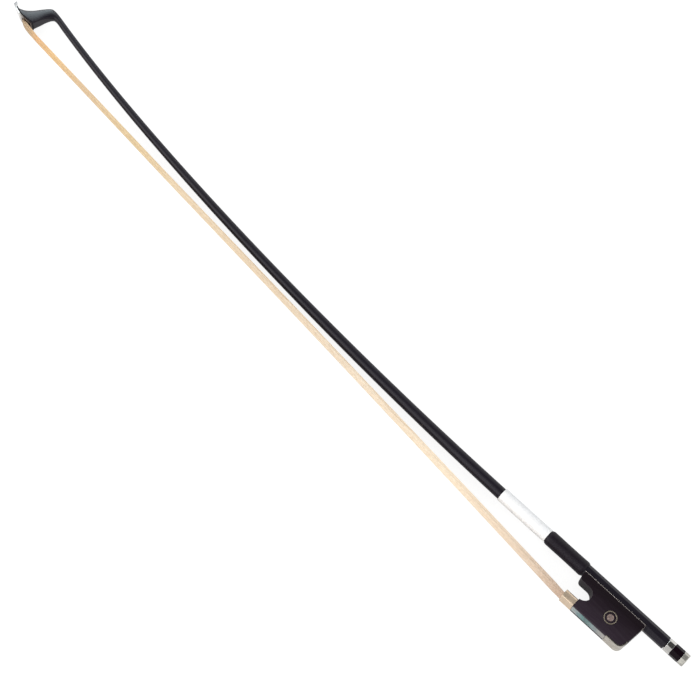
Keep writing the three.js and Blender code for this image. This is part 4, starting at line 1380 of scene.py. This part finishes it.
@dataclass
class Screw(Assembly):
    """The screw with its thread, and the button that turns it."""

    body: str = "screw"
    hard: Rows = (
        ("button_collar", "silver", "silver", 0.22),
        ("button_core", "core", "ebony", 0.15),
        ("button_cap", "cap", "silver", 0.22),
    )
    tang: tuple[float, float] = (2.4, 15.8)
    tang_half: float = 1.3
    tang_ease: float = 0.06
    thread_start: float = 24.0
    thread_end: float = 83.4
    end: float = 92.4
    radius: float = 1.7
    crest_radius: float = 1.68
    root_radius: float = 1.36
    pilot_radius: float = 1.25
    bevel: float = 0.3
    pitch: float = 0.7
    steps: int = 20

    def thread_sections(self) -> list[Section]:
        """The thread's skin: rings that follow the helix, five to a turn's profile.

        Returns:
            The sections.
        """
        lobes = ((0.0, self.root_radius), (0.28, self.root_radius), (0.5, self.crest_radius),
                 (0.68, self.crest_radius), (0.95, self.root_radius))
        sections = []
        for turn in range(int((self.thread_end - self.thread_start) / self.pitch)):
            for share, radius in lobes:
                ring = circle(0, radius, self.steps)
                for k, point in enumerate(ring):
                    x = self.thread_start + (turn + share + k / self.steps) * self.pitch
                    point.x = min(x, self.thread_end)
                sections.append(ring)
        return sections

    def square_ring(self, x: float, half: float) -> Section:
        """A ring of the square tang, with as many points as a round one.

        Args:
            x: Its place along the bow.
            half: Half the square's width.

        Returns:
            The ring's points.
        """
        ring = circle(x, 1, self.steps)
        for point in ring:
            less, more = sorted((abs(point.y), abs(point.z)))
            point.yz *= half / more * (1 - self.tang_ease * (less / more) ** 4)
        return ring

    def shaft(self) -> Piece:
        """Builds the shaft: square tang, plain shank, thread and pilot.

        Returns:
            The piece.
        """
        start, end = self.tang
        squares = ((start, self.tang_half - self.bevel), (start + self.bevel, self.tang_half),
                   (end, self.tang_half))
        shank = ((end + 0.05, self.radius - 0.15), (end + 0.3, self.radius),
                 (self.thread_start - 0.4, self.radius),
                 (self.thread_start - 0.05, self.root_radius))
        pilot = ((self.thread_end + 0.1, self.root_radius),
                 (self.thread_end + 0.4, self.pilot_radius),
                 (self.end - self.bevel, self.pilot_radius),
                 (self.end, self.pilot_radius - self.bevel))
        sections = [self.square_ring(*spot) for spot in squares]
        sections += [circle(*spot, self.steps) for spot in shank]
        sections += self.thread_sections()
        sections += [circle(*spot, self.steps) for spot in pilot]
        return Draft(self.place).loft(sections).piece("screw_threaded", 30)

    def build(self) -> None:
        """Builds and dresses the screw and its button."""
        self.dress(self.shaft(), "steel", "steel", "screw_shaft")
        super().build()


# Studio

@dataclass(frozen=True)
class SoftBox:
    """A soft lamp: where it stands from the button's end, its size and its light."""

    name: str
    at: Triple
    towards: Triple
    size: tuple[float, float]
    radiance: float
    colour: Colour
    reflected: bool = True

    def light(self, place: BowPlace) -> None:
        """Adds the lamp, facing its point on the bow.

        Args:
            place: The place of the bow's own measures.
        """
        data = bpy.data.lights.new(self.name, "AREA")
        data.shape = "RECTANGLE"
        data.size, data.size_y = self.size
        data.energy = self.radiance * math.pi * self.size[0] * self.size[1]
        data.color = self.colour
        lamp = put(self.name, data)
        lamp.visible_glossy = self.reflected
        stand = place.at(*self.at)
        turn = (stand - place.at(*self.towards)).to_track_quat("Z", "X").to_matrix().to_4x4()
        lamp.matrix_world = Matrix.Translation(stand) @ turn


@dataclass
class Studio:
    """The camera, lamps, floor and surroundings."""

    place: BowPlace
    eye: Triple = (19.90, 371.11, 1105.38)
    aim: Triple = (321.60, -3.67, 0.0)
    up: Triple = (0.6500, -0.6480, 0.3971)
    lens: float = 85.16
    sensor: float = 36.0
    clip: tuple[float, float] = (0.05, 20)
    floor_half: float = 3.0
    floor_z: float = -0.0002
    floor_albedo: float = 0.3
    floor_glow: float = 0.84
    floor_scale: float = 2.5
    surround: float = 0.8
    dark_way: Triple = (0.0, -0.31, 0.95)
    dark_stops: Stops = ((0.78, 1.0), (0.9, 0.75), (0.965, 0.3), (0.985, 0.08), (1.0, 0.05))
    dim_way: Triple = (0.27, -0.2, 0.94)
    dim_stops: Stops = ((0.95, 1.0), (0.972, 0.3), (1.0, 0.2))
    hair_side_glow: float = 1.9
    lamps: tuple[SoftBox, ...] = (
        SoftBox("key", (1480, -630, 380), (690, -30, 0), (0.9, 0.5), 3.8, (0.78, 0.93, 1.0)),
        SoftBox("fill", (100, 950, 560), (330, 10, 0), (0.8, 0.5), 4.5, (1.0, 0.97, 0.94), False),
    )

    def add_camera(self) -> None:
        """Puts the camera where the photograph was taken from."""
        data = bpy.data.cameras.new("camera")
        data.lens, data.sensor_width = self.lens, self.sensor
        data.clip_start, data.clip_end = self.clip
        camera = put("camera", data)
        eye = self.place.at(*self.eye)
        back = (eye - self.place.at(*self.aim)).normalized()
        right = Vector(self.up).cross(back).normalized()
        turn = Matrix((right, back.cross(right), back)).transposed().to_4x4()
        camera.matrix_world = Matrix.Translation(eye) @ turn
        bpy.context.scene.camera = camera

    def seen(self, tree: Nodes, path: Mapping[str, Socket], level: Socket) -> Socket:
        """Full brightness for what the camera sees, also through glass, and a level otherwise."""
        direct = tree.math("MAXIMUM", path["Is Camera Ray"], path["Is Transmission Ray"])
        return tree.math("MAXIMUM", direct, level)

    def add_floor(self) -> None:
        """Lays a pale floor that shows white behind the bow and keeps its shadow. In the bow's own
        reflections its glow carries a painted shadow, dimmest in a band along the bow and lifted
        far along X."""
        half = self.floor_half
        corners = [(-half, -half, 0), (half, -half, 0), (half, half, 0), (-half, half, 0)]
        mesh = bpy.data.meshes.new("floor")
        mesh.from_pydata(corners, [], [(0, 1, 2, 3)])
        floor = put("floor", mesh)
        floor.location.z = self.floor_z
        material = bpy.data.materials.new("pale_floor")
        material.use_nodes = True
        tree = Nodes(material.node_tree)
        path = tree.add("LightPath").outputs
        spot = tree.add("TexCoord").outputs["Object"]
        across = tree.math("MULTIPLY_ADD", tree.axis(spot, "Y"), self.floor_scale, 0.5)
        # painted shadow: in reflections the floor's glow is dimmed in a band along the bow, lifted
        # again far along X
        painted_shadow_across = tree.ramp(across, [(0.0, 1.0), (0.36, 0.95), (0.5, 0.42), (0.64, 0.62),
                                     (1.0, 1.0)])
        ahead = tree.math("MULTIPLY", tree.axis(spot, "X"), self.floor_scale)
        forward = tree.ramp(ahead, [(0.55, 0.0), (0.85, 0.6)])
        glow_under_painted_shadow = tree.math("MINIMUM", tree.math("ADD", painted_shadow_across, forward), 1.0)
        strength = self.seen(tree, path, tree.math("MULTIPLY", path["Is Glossy Ray"], glow_under_painted_shadow))
        glow = tree.add("Emission", {0: (self.floor_glow,) * 3, 1: strength})
        diffuse = tree.add("BsdfDiffuse", {0: (self.floor_albedo,) * 3})
        both = tree.add("AddShader", {0: diffuse.outputs[0], 1: glow.outputs[0]})
        tree.add("OutputMaterial", {0: both.outputs[0]})
        mesh.materials.append(material)

    def add_world(self) -> None:
        """Makes the surroundings: white, with a darker place overhead and a dimmer side by the hair
        that only reflections show."""
        world = bpy.data.worlds.new("surroundings")
        bpy.context.scene.world = world
        world.use_nodes = True
        tree = Nodes(world.node_tree)
        path = tree.add("LightPath").outputs
        way = tree.add("TexCoord").outputs["Generated"]
        shades = []
        for middle, stops in ((self.dark_way, self.dark_stops), (self.dim_way, self.dim_stops)):
            nearness = tree.add("VectorMath", {0: way, 1: Vector(middle).normalized()},
                                operation="DOT_PRODUCT").outputs["Value"]
            shades.append(tree.ramp(nearness, stops))
        overhead = tree.math("MULTIPLY", *shades)
        ahead, hairward = (tree.math("MULTIPLY_ADD", tree.axis(way, axis), 0.5, 0.5)
                           for axis in "XY")
        side = tree.ramp(hairward, [(0.55, 1.0), (0.85, 0.55)])
        corner = tree.math("MULTIPLY", tree.ramp(ahead, [(0.54, 0.0), (0.6, 1.0)]),
                           tree.ramp(hairward, [(0.62, 0.0), (0.78, 1.0)]))
        band = tree.math("MULTIPLY", corner, self.hair_side_glow)
        mirrored = tree.math("ADD", tree.math("MULTIPLY", overhead, side), band)
        mirrored = tree.math("MULTIPLY", path["Is Glossy Ray"], mirrored)
        plain = tree.math("SUBTRACT", 1.0, path["Is Glossy Ray"])
        level = tree.math("MULTIPLY_ADD", plain, self.surround, mirrored)
        background = tree.add("Background", {0: (1, 1, 1), 1: self.seen(tree, path, level)})
        tree.add("OutputWorld", {0: background.outputs[0]})

    def build(self) -> None:
        """Builds the studio."""
        self.add_camera()
        self.add_floor()
        self.add_world()
        for lamp in self.lamps:
            lamp.light(self.place)
        bpy.context.scene.view_settings.view_transform = "Standard"
        log.info("studio built")


def main() -> None:
    """Builds the studio and every part of the bow."""
    logging.basicConfig(level=logging.INFO, format="%(message)s")
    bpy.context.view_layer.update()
    place = BowPlace.from_button()
    finishes = Finishes(place)
    Studio(place).build()
    stick = Stick(place, finishes)
    stick.build()
    Handle(place, finishes, stick=stick).build()
    HeadFittings(place, finishes).build()
    HairRibbon(place, finishes).build()
    Frog(place, finishes).build()
    Screw(place, finishes).build()


if __name__ == "__main__":
    main()
